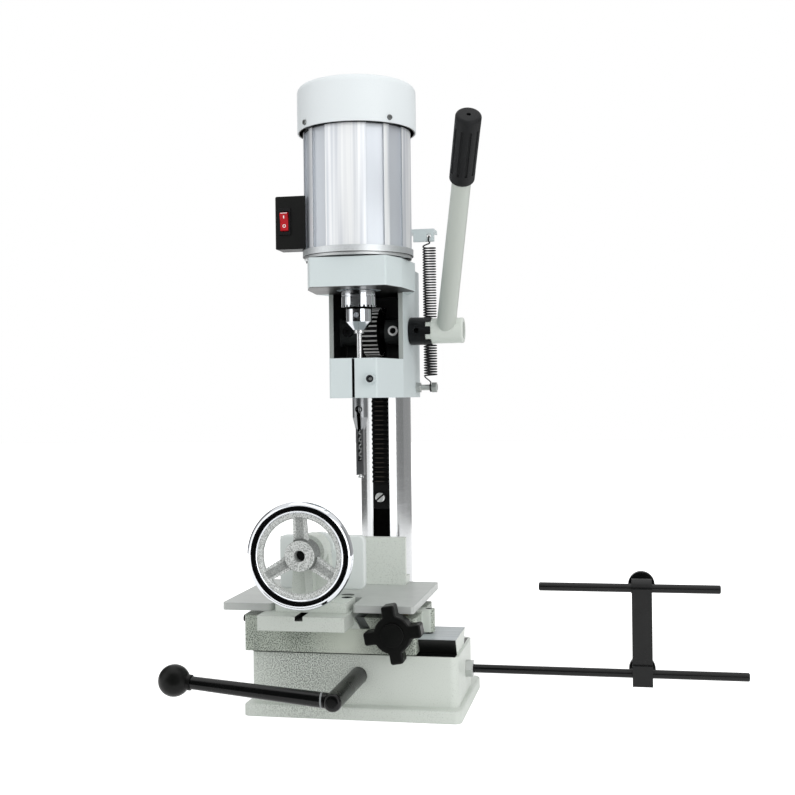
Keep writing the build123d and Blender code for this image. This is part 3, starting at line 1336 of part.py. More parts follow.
with BuildPart() as clutch_collar:
    with BuildSketch(right_plane(collar_x0, pinion_y, pinion_z)):
        Circle(COLLAR_D / 2)
    extrude(amount=collar_x1 + DOG_H - collar_x0)
    chamfer(clutch_collar.edges().group_by(Axis.X)[0], PASS_GAP)
    with BuildSketch(right_plane(collar_x1, pinion_y, pinion_z)):
        Circle(DOG_BORE_D / 2)
        with PolarLocations(COLLAR_D / 4, DOG_COUNT, start_angle=DOG_TURN):
            Rectangle(COLLAR_D / 2, DOG_W + 2 * PASS_GAP)
    extrude(amount=DOG_H, mode=Mode.SUBTRACT)
    with BuildSketch(right_plane(collar_x0, pinion_y, pinion_z)):
        Circle(SHAFT_D / 2 + SEAT_FIT)
    extrude(amount=collar_x1 - collar_x0, mode=Mode.SUBTRACT)
    with BuildSketch(front_plane(pinion_y, (collar_x0 + collar_x1) / 2, pinion_z)):
        Circle(SCREW_SOCKET_D / 2)
    extrude(amount=COLLAR_D / 2, mode=Mode.SUBTRACT)
save(clutch_collar, "clutch_collar")

with BuildPart() as lever_end_screw:
    with BuildSketch(right_plane(end_screw_x, pinion_y, pinion_z)):
        Circle(END_SCREW_HEAD_D / 2)
        RegularPolygon(SCREW_SOCKET_D / 2, 6, mode=Mode.SUBTRACT)
    extrude(amount=END_SCREW_HEAD_T)
    with BuildSketch(right_plane(end_screw_x, pinion_y, pinion_z)):
        Circle(SCREW_D / 2)
    extrude(amount=-2 * SCREW_D)
save(lever_end_screw, "lever_end_screw")

# Lever: hub with dogs and a tapered arm in one casting, then the grip
hub_shoulder = end_screw_x - PULL - DOG_H
lever_plane = Plane(origin=lever_root, x_dir=(1, 0, 0), z_dir=lever_way)
grip_start = LEVER_L - GRIP_L
with BuildPart() as lever:
    with BuildSketch(right_plane(hub_start, pinion_y, pinion_z)):
        Circle(LEVER_HUB_D / 2)
    extrude(amount=hub_end - hub_start)
    fillet(lever.edges().group_by(Axis.X)[-1], 4 * PASS_GAP)
    with BuildSketch(right_plane(hub_start, pinion_y, pinion_z)):
        with PolarLocations((LEVER_HUB_D + DOG_BORE_D) / 4, DOG_COUNT, start_angle=DOG_TURN):
            Rectangle((LEVER_HUB_D - DOG_BORE_D) / 2 - 2 * PASS_GAP, DOG_W)
    extrude(amount=-DOG_H)
    with BuildSketch(lever_plane):
        Circle(LEVER_ROOT_D / 2)
    with BuildSketch(lever_plane.offset(grip_start)):
        Circle(LEVER_END_D / 2)
    loft()
    with BuildSketch(lever_plane.offset(grip_start)):
        Circle(LEVER_STUB_D / 2)
    extrude(amount=LEVER_STUB_L)
    with BuildSketch(right_plane(hub_start, pinion_y, pinion_z)):
        Circle(SHAFT_D / 2 + RUN_FIT)
    extrude(amount=hub_end - hub_start, mode=Mode.SUBTRACT)
    with BuildSketch(right_plane(hub_shoulder, pinion_y, pinion_z)):
        Circle(END_SCREW_HEAD_D / 2 + PASS_GAP)
    extrude(amount=hub_end - hub_shoulder, mode=Mode.SUBTRACT)
save(lever, "lever")

with BuildPart() as lever_grip:
    with BuildSketch(lever_plane.offset(grip_start)):
        Circle(GRIP_D / 2)
    extrude(amount=GRIP_L)
    fillet(lever_grip.edges().filter_by(GeomType.CIRCLE), GRIP_D / 8)
    with BuildSketch(lever_plane.offset(grip_start + GRIP_D / 2)):
        with PolarLocations(GRIP_D / 2, GRIP_GROOVES):
            Circle(GRIP_GROOVE_D / 2)
    extrude(amount=GRIP_L - GRIP_D, mode=Mode.SUBTRACT)
    with BuildSketch(lever_plane.offset(grip_start)):
        Circle(LEVER_STUB_D / 2 + SEAT_FIT)
    extrude(amount=LEVER_STUB_L, mode=Mode.SUBTRACT)
    with BuildSketch(lever_plane.offset(LEVER_L)):
        Circle(GRIP_HOLE_D / 2)
    extrude(amount=LEVER_STUB_L - GRIP_L, mode=Mode.SUBTRACT)
save(lever_grip, "lever_grip")

# Motor: flange with ears, fluted housing, top shield, fan cover
bearing_low = motor_bottom + SEAT_FIT
bearing_high = motor_top - BEARING_W
seat_wall = BEARING_D / 2 + CASTING_WALL
with BuildPart() as motor_flange:
    with BuildSketch(Plane.XY.offset(head_top)):
        Circle(SPIGOT_D / 2)
        with Locations((-EAR_X, 0), (EAR_X, 0)):
            Circle(EAR_D / 2)
    extrude(amount=FLANGE_GAP)
    with BuildSketch(Plane.XY.offset(head_top + FLANGE_GAP)):
        Circle(MOTOR_D / 2 + FLANGE_LIP)
    extrude(amount=FLANGE_H - FLANGE_GAP)
    with BuildSketch(Plane.XY.offset(motor_bottom)):
        Circle(seat_wall)
    extrude(amount=BEARING_W)
    with BuildSketch(Plane.XY.offset(motor_bottom)):
        Circle(BEARING_D / 2 + SEAT_FIT)
    extrude(amount=BEARING_W, mode=Mode.SUBTRACT)
    with BuildSketch(Plane.XY.offset(head_top)):
        Circle(MOTOR_SHAFT_D / 2 + 2 * PASS_GAP)
    extrude(amount=motor_bottom - head_top, mode=Mode.SUBTRACT)
    with Locations((-EAR_X, 0, motor_bottom), (EAR_X, 0, motor_bottom)):
        Hole(SCREW_D / 2 + SEAT_FIT, FLANGE_H)
save(motor_flange, "motor_flange")

with BuildPart() as motor_housing:
    with BuildSketch(Plane.XY.offset(motor_bottom)):
        Circle(MOTOR_D / 2)
        with PolarLocations(MOTOR_D / 2, LAND_COUNT, start_angle=FLUTE_ANGLE):
            Rectangle(2 * FLUTE_DEPTH, FLUTE_W, mode=Mode.SUBTRACT)
        with PolarLocations(MOTOR_D / 2, LAND_COUNT, start_angle=-FLUTE_ANGLE):
            Rectangle(2 * FLUTE_DEPTH, FLUTE_W, mode=Mode.SUBTRACT)
        Circle(MOTOR_D / 2 - MOTOR_WALL, mode=Mode.SUBTRACT)
    extrude(amount=motor_top - motor_bottom)
    with Locations((-EAR_X, 0, motor_bottom), (EAR_X, 0, motor_bottom)):
        Cylinder(
            SCREW_HEAD_D / 2 + PASS_GAP,
            2 * (SCREW_HEAD_H + PASS_GAP),
            align=(Align.CENTER, Align.CENTER, Align.CENTER),
            mode=Mode.SUBTRACT,
        )
save(motor_housing, "motor_housing")

with BuildPart() as stator:
    with BuildSketch(Plane.XY.offset(stator_z)):
        Circle(MOTOR_D / 2 - MOTOR_WALL - SEAT_FIT)
        Circle(ROTOR_D / 2 + AIR_GAP, mode=Mode.SUBTRACT)
    extrude(amount=STATOR_H)
save(stator, "stator")

with BuildPart() as motor_bearings:
    for bottom in (bearing_low, bearing_high):
        with BuildSketch(Plane.XY.offset(bottom)):
            Circle(BEARING_D / 2)
            Circle(MOTOR_SHAFT_D / 2 + RUN_FIT, mode=Mode.SUBTRACT)
        extrude(amount=BEARING_W - SEAT_FIT)
save(motor_bearings, "motor_bearings")

cover_inner = cover_r - COVER_WALL
with BuildPart() as motor_shield:
    with BuildSketch(Plane.XY.offset(motor_top)):
        Circle(MOTOR_D / 2)
        with PolarLocations(cover_inner / 2, COVER_LUG_COUNT, start_angle=COVER_LUG_ANGLE):
            Rectangle(cover_inner, COVER_LUG_W)
        Circle(cover_inner - SEAT_FIT, mode=Mode.INTERSECT)
        Circle(MOTOR_SHAFT_D / 2 + 2 * PASS_GAP, mode=Mode.SUBTRACT)
    extrude(amount=SHIELD_T)
    with BuildSketch(Plane.XY.offset(motor_top)):
        Circle(seat_wall)
        Circle(BEARING_D / 2 + SEAT_FIT, mode=Mode.SUBTRACT)
    extrude(amount=-BEARING_W)
save(motor_shield, "motor_shield")

with BuildPart() as fan_cover:
    with BuildSketch(Plane.XY.offset(motor_top)):
        Circle(cover_r)
    extrude(amount=cover_top - motor_top)
    fillet(fan_cover.edges().group_by(Axis.Z)[-1], COVER_SHOULDER_R)
    offset(amount=-COVER_WALL, openings=fan_cover.faces().sort_by(Axis.Z)[0])
    with BuildSketch(Plane.XY.offset(cover_top)):
        with PolarLocations(VENT_R, VENT_COUNT):
            SlotOverall(VENT_L, VENT_W)
    extrude(amount=-2 * COVER_WALL, mode=Mode.SUBTRACT)
save(fan_cover, "fan_cover")

# Rotating pieces on the motor's shaft
fan_top = fan_z + FAN_BLADE_H
with BuildPart() as motor_shaft:
    with BuildSketch(Plane.XY.offset(shaft_bottom)):
        Circle(MOTOR_SHAFT_D / 2)
    extrude(amount=fan_top - shaft_bottom)
save(motor_shaft, "motor_shaft")

with BuildPart() as rotor:
    with BuildSketch(Plane.XY.offset(stator_z)):
        Circle(ROTOR_D / 2)
        Circle(MOTOR_SHAFT_D / 2 + SEAT_FIT, mode=Mode.SUBTRACT)
    extrude(amount=STATOR_H)
save(rotor, "rotor")

with BuildPart() as fan:
    with BuildSketch(Plane.XY.offset(fan_z)):
        Circle(FAN_D / 2)
    extrude(amount=FAN_BLADE_T)
    with BuildSketch(Plane.XY.offset(fan_z)):
        with PolarLocations(FAN_D / 4, FAN_BLADE_COUNT):
            Rectangle(FAN_D / 2, FAN_BLADE_T)
        Circle(FAN_HUB_D / 2)
    extrude(amount=FAN_BLADE_H)
    with Locations((0, 0, fan_top)):
        Hole(MOTOR_SHAFT_D / 2 + SEAT_FIT, FAN_BLADE_H)
save(fan, "fan")

# Keyed chuck: body, toothed sleeve and three jaws on the auger's shank
with BuildPart() as chuck_body:
    with BuildSketch(front_plane(0)):
        with BuildLine():
            Polyline(
                (0, chuck_nose),
                (CHUCK_NOSE_D / 2, chuck_nose),
                (CHUCK_D / 2, chuck_nose + CHUCK_CONE_H),
                (CHUCK_D / 2, chuck_top),
                (0, chuck_top),
                close=True,
            )
        make_face()
    revolve(axis=Axis.Z)
    with Locations((0, 0, chuck_top)):
        Hole(MOTOR_SHAFT_D / 2 + SEAT_FIT, chuck_top - shaft_bottom)
    with BuildSketch(Plane.XY.offset(chuck_nose)):
        Circle(CHUCK_MOUTH_D / 2)
    extrude(amount=chuck_mouth_top - chuck_nose, mode=Mode.SUBTRACT)
    with PolarLocations(0, JAW_COUNT):
        with Locations(Plane(origin=(0, 0, chuck_nose + CHUCK_KEY_UP), z_dir=(0, -1, 0))):
            Cylinder(
                CHUCK_KEY_D / 2,
                CHUCK_D,
                align=(Align.CENTER, Align.CENTER, Align.MIN),
                mode=Mode.SUBTRACT,
            )
save(chuck_body, "chuck_body")

with BuildPart() as chuck_sleeve:
    with BuildSketch(Plane.XY.offset(sleeve_bottom)):
        Circle(SLEEVE_D / 2)
        Circle(CHUCK_D / 2 + SEAT_FIT, mode=Mode.SUBTRACT)
    extrude(amount=SLEEVE_H)
    with BuildSketch(Plane.XY.offset(sleeve_bottom + SLEEVE_GROOVE_UP)):
        Circle(SLEEVE_D / 2)
        Circle(SLEEVE_D / 2 - SLEEVE_GROOVE_W, mode=Mode.SUBTRACT)
    extrude(amount=SLEEVE_GROOVE_W, mode=Mode.SUBTRACT)
    with BuildSketch(Plane.XY.offset(sleeve_bottom)):
        with PolarLocations(SLEEVE_D / 2, SLEEVE_TOOTH_COUNT):
            Rectangle(2 * SLEEVE_TOOTH_L, SLEEVE_TOOTH_W)
    extrude(amount=SLEEVE_TOOTH_W, mode=Mode.SUBTRACT)
save(chuck_sleeve, "chuck_sleeve")

with BuildPart() as chuck_jaws:
    with BuildSketch(Plane.XY.offset(jaw_tip)):
        Circle(CHUCK_MOUTH_D / 2 - SEAT_FIT)
        Circle(AUGER_SHANK_D / 2 + SEAT_FIT, mode=Mode.SUBTRACT)
        with PolarLocations(CHUCK_MOUTH_D / 2, JAW_COUNT, start_angle=JAW_TURN):
            Rectangle(CHUCK_MOUTH_D, JAW_SPLIT_W, mode=Mode.SUBTRACT)
    extrude(amount=chuck_mouth_top - jaw_tip)
save(chuck_jaws, "chuck_jaws")

# Auger: plain shank above a twisted web
with BuildSketch(Plane.XY.offset(auger_bottom)) as auger_section:
    SlotOverall(AUGER_D, AUGER_WEB_T)
flutes = Solid.extrude_linear_with_rotation(
    auger_section.sketch.faces()[0],
    center=(0, 0, auger_bottom),
    normal=(0, 0, AUGER_FLUTE_L),
    angle=360 * AUGER_FLUTE_L / AUGER_LEAD_L,
)
with BuildPart() as auger:
    with BuildSketch(Plane.XY.offset(auger_flutes)):
        Circle(AUGER_SHANK_D / 2)
    extrude(amount=chuck_mouth_top - auger_flutes)
    add(flutes)
save(auger, "auger")

# Switch: box on the motor's left land, bezel, rocker and cable gland
pocket_x = ROCKER_W + 4 * PASS_GAP
pocket_z = ROCKER_H + 4 * PASS_GAP
pivot_y = BOX_FRONT + BEZEL_T
with BuildPart() as switch_box:
    with BuildSketch(Plane.XY.offset(box_bottom)):
        with Locations((box_x0, BOX_FRONT)):
            Rectangle(box_x1 - box_x0, BOX_D, align=(Align.MIN, Align.MIN))
    extrude(amount=BOX_H)
    fillet(switch_box.edges().group_by(Axis.X)[0], BOX_R)
    with BuildSketch(Plane.XY.offset(box_bottom)):
        Circle(MOTOR_D / 2 + SEAT_FIT)
    extrude(amount=BOX_H, mode=Mode.SUBTRACT)
    with BuildSketch(front_plane(BOX_FRONT, bezel_x, bezel_z)):
        Rectangle(pocket_x, pocket_z)
    extrude(amount=-ROCKER_H, mode=Mode.SUBTRACT)
    with BuildSketch(front_plane(box_back, bezel_x, bezel_z)):
        Circle(GLAND_HOLE_D / 2)
    extrude(amount=BOX_D, mode=Mode.SUBTRACT)
save(switch_box, "switch_box")

with BuildPart() as switch_bezel:
    with BuildSketch(front_plane(BOX_FRONT, bezel_x, bezel_z)):
        RectangleRounded(BEZEL_W, BEZEL_H, BEZEL_T / 2)
        Rectangle(ROCKER_W + PASS_GAP, ROCKER_H + PASS_GAP, mode=Mode.SUBTRACT)
    extrude(amount=BEZEL_T)
save(switch_bezel, "switch_bezel")

rocker_plane = Plane(
    origin=(bezel_x - ROCKER_W / 2, pivot_y, bezel_z),
    x_dir=(0, -cos(ROCKER_TILT), -sin(ROCKER_TILT)),
    z_dir=(1, 0, 0),
)
with BuildPart() as switch_rocker:
    with BuildSketch(rocker_plane):
        Circle(ROCKER_H / 2)
        with BuildLine():
            Polyline(
                (ROCKER_DEPTH - ROCKER_DISH, 0),
                (ROCKER_DEPTH, ROCKER_H / 2),
                (-ROCKER_DEPTH, ROCKER_H / 2),
                (-ROCKER_DEPTH, -ROCKER_H / 2),
                (ROCKER_DEPTH, -ROCKER_H / 2),
                close=True,
            )
        make_face(mode=Mode.INTERSECT)
    extrude(amount=ROCKER_W)
save(switch_rocker, "switch_rocker")

with BuildPart() as cable_gland:
    with BuildSketch(front_plane(box_back, bezel_x, bezel_z)):
        RegularPolygon(GLAND_D / 2, 6, major_radius=False)
        Circle(GLAND_HOLE_D / 2, mode=Mode.SUBTRACT)
    extrude(amount=-GLAND_L)
save(cable_gland, "cable_gland")

# Length stop: bar that slides on the rail, rod through its top eye, two thumb screws
bar_x0 = BAR_X - BAR_W / 2
bar_back = STOP_Y - STOP_D / 2
block_back = STOP_Y + STOP_D / 2 + BAR_T
with BuildPart() as stop_bracket:
    with BuildSketch(right_plane(bar_x0)) as bar_side:
        with Locations((bar_back, BAR_BOTTOM)):
            Rectangle(BAR_T, ROD_Z - BAR_BOTTOM, align=(Align.MAX, Align.MIN))
        with Locations((block_back, BAR_BOTTOM)):
            Rectangle(block_back - bar_back + BAR_T + BAR_LIP, STOP_BLOCK_H, align=(Align.MAX, Align.MIN))
        with Locations((STOP_Y, ROD_Z)):
            Circle(STOP_D / 2 + BAR_T)
        with Locations((STOP_Y, RAIL_Z), (STOP_Y, ROD_Z)):
            Circle(STOP_D / 2 + RUN_FIT, mode=Mode.SUBTRACT)
    extrude(amount=BAR_W)
    with BuildSketch(front_plane(STOP_Y)):
        with Locations((BAR_X, RAIL_Z), (BAR_X, ROD_Z)):
            Circle(THUMB_SHANK_D / 2 + SEAT_FIT)
    extrude(amount=-STOP_D / 2 - BAR_T, mode=Mode.SUBTRACT)
save(stop_bracket, "stop_bracket")

thumb_start = STOP_Y + STOP_D / 2 + RUN_FIT
with BuildPart() as stop_thumb_screws:
    with BuildSketch(front_plane(thumb_start)):
        with Locations((BAR_X, RAIL_Z), (BAR_X, ROD_Z)):
            Circle(THUMB_SHANK_D / 2)
    extrude(amount=-THUMB_L)
    with BuildSketch(front_plane(thumb_start + THUMB_L)):
        with Locations((BAR_X, RAIL_Z), (BAR_X, ROD_Z)):
            Circle(THUMB_D / 2)
    extrude(amount=-THUMB_T)
save(stop_thumb_screws, "stop_thumb_screws")

with BuildPart() as stop_rod:
    with BuildSketch(right_plane(ROD_X0)):
        with Locations((STOP_Y, ROD_Z)):
            Circle(STOP_D / 2)
    extrude(amount=ROD_X1 - ROD_X0)
    chamfer(stop_rod.edges().filter_by(GeomType.CIRCLE), STOP_D / 10)
save(stop_rod, "stop_rod")


# Return spring: one wire, its coils from a formula, its ends drawn in to the axis
def coil_point(turn):
    """Point of the spring's helix after some turns."""
    angle = 2 * pi * turn
    rise = (spring_top - spring_bottom) / SPRING_COILS
    return Vector(
        spring_x + SPRING_D / 2 * cos(angle),
        SPRING_Y + SPRING_D / 2 * sin(angle),
        spring_bottom + rise * turn,
    )


def coil_heading(turn):
    """Unit tangent of the spring's helix after some turns."""
    angle = 2 * pi * turn
    rise = (spring_top - spring_bottom) / SPRING_COILS
    return Vector(-pi * SPRING_D * sin(angle), pi * SPRING_D * cos(angle), rise).normalized()


def biarc_middle(start, heading, end, end_heading):
    """Where two tangent arcs of equal handles meet, and the heading there."""
    chord = end - start
    lean = heading + end_heading
    spread = 2 * (1 - heading.dot(end_heading))
    handle = (sqrt(chord.dot(lean) ** 2 + spread * chord.dot(chord)) - chord.dot(lean)) / spread
    first = start + heading * handle
    last = end - end_heading * handle
    return (first + last) * 0.5, (last - first).normalized()


half_turns = 2 * SPRING_COILS
low_stub = Vector(spring_x, SPRING_Y, anchor_top)
high_stub = Vector(spring_x, SPRING_Y, tab_bottom)
up = Vector(0, 0, 1)
knots = [(low_stub + up * SPRING_WIRE_D, up)]
knots += [(coil_point(step / 2), coil_heading(step / 2)) for step in range(half_turns + 1)]
knots.append((high_stub - up * SPRING_WIRE_D, up))
with BuildPart() as return_spring:
    with BuildLine() as wire:
        Line(low_stub, knots[0][0])
        for (start, heading), (end, end_heading) in zip(knots, knots[1:]):
            middle, middle_heading = biarc_middle(start, heading, end, end_heading)
            TangentArc(start, middle, tangent=heading)
            TangentArc(middle, end, tangent=middle_heading)
        Line(knots[-1][0], high_stub)
    with BuildSketch(Plane(origin=low_stub, z_dir=up)):
        RegularPolygon(SPRING_WIRE_D / 2, WIRE_SIDES)
    sweep(clean=False)
save(return_spring, "return_spring")
stations = [step / POINTS_PER_ARC for step in range(POINTS_PER_ARC)]
points = [edge @ station for edge in wire.edges() for station in stations]
gap_step = 3 * POINTS_PER_ARC
coil_gap = min((b - a).length for i, a in enumerate(points) for b in points[i + gap_step:]) - SPRING_WIRE_D
print("least gap of the spring to itself", round(coil_gap, 3))
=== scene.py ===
"""Looks of a hollow chisel mortiser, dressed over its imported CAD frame.

Metres, +Z up, in the CAD's own frame. Laid out as an add-on and run as a script.
"""

from math import cos, pi, radians, sin

import bmesh
import bpy
from bpy.props import FloatProperty, FloatVectorProperty, IntProperty, PointerProperty
from mathutils import Matrix, Vector


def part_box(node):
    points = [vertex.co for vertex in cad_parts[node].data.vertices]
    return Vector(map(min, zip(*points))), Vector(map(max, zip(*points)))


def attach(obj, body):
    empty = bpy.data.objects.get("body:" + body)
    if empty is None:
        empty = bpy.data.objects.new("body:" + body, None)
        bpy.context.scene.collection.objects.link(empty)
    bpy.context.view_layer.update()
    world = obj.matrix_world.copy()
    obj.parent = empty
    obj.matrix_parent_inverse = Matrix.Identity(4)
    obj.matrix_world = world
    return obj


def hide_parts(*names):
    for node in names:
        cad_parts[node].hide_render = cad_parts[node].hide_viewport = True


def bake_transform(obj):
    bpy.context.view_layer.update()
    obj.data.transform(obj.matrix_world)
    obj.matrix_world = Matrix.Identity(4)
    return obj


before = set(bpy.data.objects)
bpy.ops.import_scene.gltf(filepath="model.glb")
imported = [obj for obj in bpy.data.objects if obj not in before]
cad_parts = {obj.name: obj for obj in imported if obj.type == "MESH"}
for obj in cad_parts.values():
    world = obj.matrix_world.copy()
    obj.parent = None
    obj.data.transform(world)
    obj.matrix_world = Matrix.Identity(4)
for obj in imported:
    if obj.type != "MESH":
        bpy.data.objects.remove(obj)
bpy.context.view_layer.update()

bl_info = {
    "name": "Hollow chisel mortiser",
    "version": (1, 0, 0),
    "blender": (4, 5, 0),
    "location": "View3D > Sidebar > Mortiser",
    "description": "Finishes, fine pieces and studio of a bench mortiser",
    "category": "Object",
}

MM = 0.001
IMAGE_SIDE = 795  # pixels, both ways
SENSOR = 36  # mm
WHITE = (1, 1, 1, 1)
UPRIGHT = (0, 0, 1)
SIDEWAYS = (1, 0, 0)
LENGTHWISE = (0, 1, 0)
# Points in millimetres on the spindle's upright axis and on the lever's level one
SPINDLE = (0, 0, 0)
PINION = (0, 87, 456)
# Directions in which a bar along an axis is round
ALONG_X, ALONG_Y, ALONG_Z = (0, 1, 1), (1, 0, 1), (1, 1, 0)


def linear(hex_colour):
    """Linear RGBA of an sRGB hex colour."""
    channels = [int(hex_colour[start:start + 2], 16) / 255 for start in (1, 3, 5)]
    return (*[c / 12.92 if c <= 0.04045 else ((c + 0.055) / 1.055) ** 2.4 for c in channels], 1.0)


def as_input(value):
    """Linear colour of a hex string, or any other value as it is."""
    return linear(value) if isinstance(value, str) else value


def shade(colour, factor):
    """A colour made darker or lighter."""
    return (*[factor * channel for channel in as_input(colour)[:3]], 1)


def per_mm(size):
    """Texture scale, per metre, of a grain so many millimetres wide."""
    return 1 / (size * MM)


def add_node(beside, kind, inputs=None, **settings):
    """Add a shader node to the tree of a node or socket: settings are its properties, inputs are numbers, hex
    colours or other nodes' sockets."""
    made = beside.id_data.nodes.new(kind)
    for name, value in settings.items():
        setattr(made, name, value)
    for socket, value in (inputs or {}).items():
        if isinstance(value, bpy.types.NodeSocket):
            feed(made, {socket: value})
        else:
            made.inputs[socket].default_value = as_input(value)
    return made


def do_math(operation, first, second):
    """Result of a sum on a socket and a number or another socket."""
    return add_node(first, "ShaderNodeMath", {0: first, 1: second}, operation=operation).outputs[0]


def vector_math(beside, operation, *values):
    """Node that works on vectors or sockets."""
    return add_node(beside, "ShaderNodeVectorMath", dict(enumerate(values)), operation=operation)


def remap(value, start=0.0, end=1.0, low=0.0, high=1.0):
    """Carry a value from the range start to end over to low to high, and hold it there."""
    ranges = {"From Min": start, "From Max": end, "To Min": low, "To Max": high}
    return add_node(value, "ShaderNodeMapRange", {"Value": value, **ranges}).outputs[0]


def mix(factor, colour, other):
    """Blend of two colours by a factor."""
    inputs = {0: factor, 6: colour, 7: other}
    return add_node(factor, "ShaderNodeMix", inputs, data_type="RGBA").outputs[2]


def noise(place, size, detail, roughness=0.5):
    """Soft grain so many millimetres wide."""
    inputs = {"Scale": per_mm(size), "Detail": detail, "Roughness": roughness, "Vector": place}
    return add_node(place, "ShaderNodeTexNoise", inputs).outputs["Fac"]


def drawn_noise(place, sizes, detail):
    """Grain drawn out to its own width in millimetres along each axis."""
    scales = [per_mm(size) for size in sizes]
    drawn = add_node(place, "ShaderNodeMapping", {"Scale": scales, "Vector": place}).outputs[0]
    inputs = {"Scale": 1, "Detail": detail, "Vector": drawn}
    return add_node(place, "ShaderNodeTexNoise", inputs).outputs["Fac"]


def rounded(beside, edge, samples=4):
    """Normal of a surface whose edges are rubbed to a radius in millimetres."""
    return add_node(beside, "ShaderNodeBevel", {"Radius": edge * MM}, samples=samples).outputs[0]


def bumps(height, strength, depth, edge, samples=4):
    """Normal of a surface with bumps of a depth, its edges rubbed to a radius, both in millimetres."""
    normal = rounded(height, edge, samples)
    inputs = {"Strength": strength, "Distance": depth * MM, "Height": height, "Normal": normal}
    return add_node(height, "ShaderNodeBump", inputs).outputs[0]


def start_material(name, values):
    """Material with one Principled shader: gives the material, the shader and the Object coordinates."""
    material = bpy.data.materials.new(name)
    material.use_nodes = True
    shader = material.node_tree.nodes["Principled BSDF"]
    for socket, value in values.items():
        shader.inputs[socket].default_value = as_input(value)
    place = add_node(shader, "ShaderNodeTexCoord").outputs["Object"]
    return material, shader, place


def open_material(material):
    """Shader and Object coordinates of a finished material."""
    nodes = material.node_tree.nodes
    return nodes["Principled BSDF"], nodes["Texture Coordinate"].outputs["Object"]


def feed(node, sources):
    """Link sockets to a node's inputs."""
    for socket, source in sources.items():
        node.id_data.links.new(source, node.inputs[socket])


def inside_box(place, low, high):
    """Mask of a box given by two corners in millimetres: 1 inside, 0 outside."""
    low, high = Vector(low) * MM, Vector(high) * MM
    offset = vector_math(place, "SUBTRACT", place, (low + high) / 2)
    reach = vector_math(place, "ABSOLUTE", offset.outputs[0])
    room = vector_math(place, "SUBTRACT", (high - low) / 2, reach.outputs[0])
    axes = add_node(place, "ShaderNodeSeparateXYZ", {0: room.outputs[0]}).outputs
    least = do_math("MINIMUM", do_math("MINIMUM", axes[0], axes[1]), axes[2])
    return do_math("GREATER_THAN", least, 0)


def inside_round(place, centre, across, radius):
    """Mask of a round bar through a centre, in millimetres: 1 nearer to its axis than a radius."""
    offset = vector_math(place, "SUBTRACT", place, Vector(centre) * MM)
    flat = vector_math(place, "MULTIPLY", offset.outputs[0], across)
    reach = vector_math(place, "LENGTH", flat.outputs[0])
    return do_math("LESS_THAN", reach.outputs["Value"], radius * MM)


def fading_mask(place, centre, near, far):
    """Mask round a centre in millimetres: 1 nearer than near, fading to 0 at far."""
    offset = vector_math(place, "DISTANCE", place, Vector(centre) * MM)
    return remap(offset.outputs["Value"], near * MM, far * MM, 1.0, 0.0)


def lay_over(shader, mask, colour):
    """Lay another colour, or a socket's, over a shader's own where a mask is 1."""
    base = shader.inputs["Base Color"]
    below = base.links[0].from_socket if base.is_linked else base.default_value
    feed(shader, {"Base Color": mix(mask, below, colour)})


def lay_boxes(material, *boxes):
    """Lay colours over a material inside boxes, each two corners in millimetres and a colour."""
    shader, place = open_material(material)
    for low, high, colour in boxes:
        lay_over(shader, inside_box(place, low, high), colour)
    return material


def lay_rounds(material, *rounds):
    """Lay colours over a material inside round bars, each a centre, directions, a radius and a colour."""
    shader, place = open_material(material)
    for centre, across, radius, colour in rounds:
        lay_over(shader, inside_round(place, centre, across, radius), colour)
    return material


def touch(name, start, towards):
    """Point and outward normal where a line in millimetres first meets a CAD node."""
    start = Vector(start) * MM
    met, point, normal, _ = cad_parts[name].ray_cast(start, Vector(towards) * MM - start)
    if not met:
        raise RuntimeError(f"nothing of {name} in the way")
    return point, normal


def stand_on(point, normal, up):
    """Matrix at a point of a surface, its Z outwards and its Y as near to up as it can be."""
    across = Vector(up).cross(normal).normalized()
    turn = Matrix((across, normal.cross(across), normal)).transposed()
    return Matrix.Translation(point) @ turn.to_4x4()


def assign(material, *names):
    """Give CAD nodes a material."""
    for name in names:
        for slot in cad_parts[name].material_slots:
            slot.material = material


def linked(verts, kind):
    """Edges or faces that vertices belong to, each once and in order."""
    return list(dict.fromkeys(part for vert in verts for part in getattr(vert, kind)))


def sweep_circle(mesh_builder, start, radius, centre, axis, segments, steps):
    """Draw a circle at a matrix and sweep it once round an axis."""
    ring = bmesh.ops.create_circle(mesh_builder, segments=segments, radius=radius, matrix=start)["verts"]
    bmesh.ops.spin(mesh_builder, geom=ring + linked(ring, "link_edges"), cent=centre, axis=axis,
                   angle=2 * pi, steps=steps, use_merge=True)


def round_edges(mesh_builder, edges, radius, segments):
    """Round edges off, and give the vertices that this makes."""
    return bmesh.ops.bevel(mesh_builder, geom=edges, offset=radius, affect="EDGES", segments=segments,
                           profile=0.5, material=-1)["verts"]


def close_mesh(mesh_builder, name, material):
    """Turn a bmesh into a named mesh with one material."""
    mesh = bpy.data.meshes.new(name)
    mesh_builder.to_mesh(mesh)
    mesh_builder.free()
    mesh.materials.append(material)
    return mesh


def show(name, data):
    """Object of a mesh, lamp or camera, linked into the scene."""
    made = bpy.data.objects.new(name, data)
    bpy.context.scene.collection.objects.link(made)
    return made


def keep_piece(mesh_builder, name, material, body):
    """Close a bmesh into a named piece at the origin that rides on a body."""
    bmesh.ops.remove_doubles(mesh_builder, verts=mesh_builder.verts, dist=1e-6)
    bmesh.ops.recalc_face_normals(mesh_builder, faces=mesh_builder.faces)
    mesh = close_mesh(mesh_builder, name, material)
    mesh.shade_smooth()
    mesh.set_sharp_from_angle(angle=radians(35))
    piece = show(name, mesh)
    if body:
        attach(piece, body)
    return piece


def colour_setting(name, description, hex_colour):
    """Colour property whose default is an sRGB hex colour."""
    return FloatVectorProperty(
        name=name, description=description, subtype="COLOR", size=4, min=0, max=1, default=linear(hex_colour))


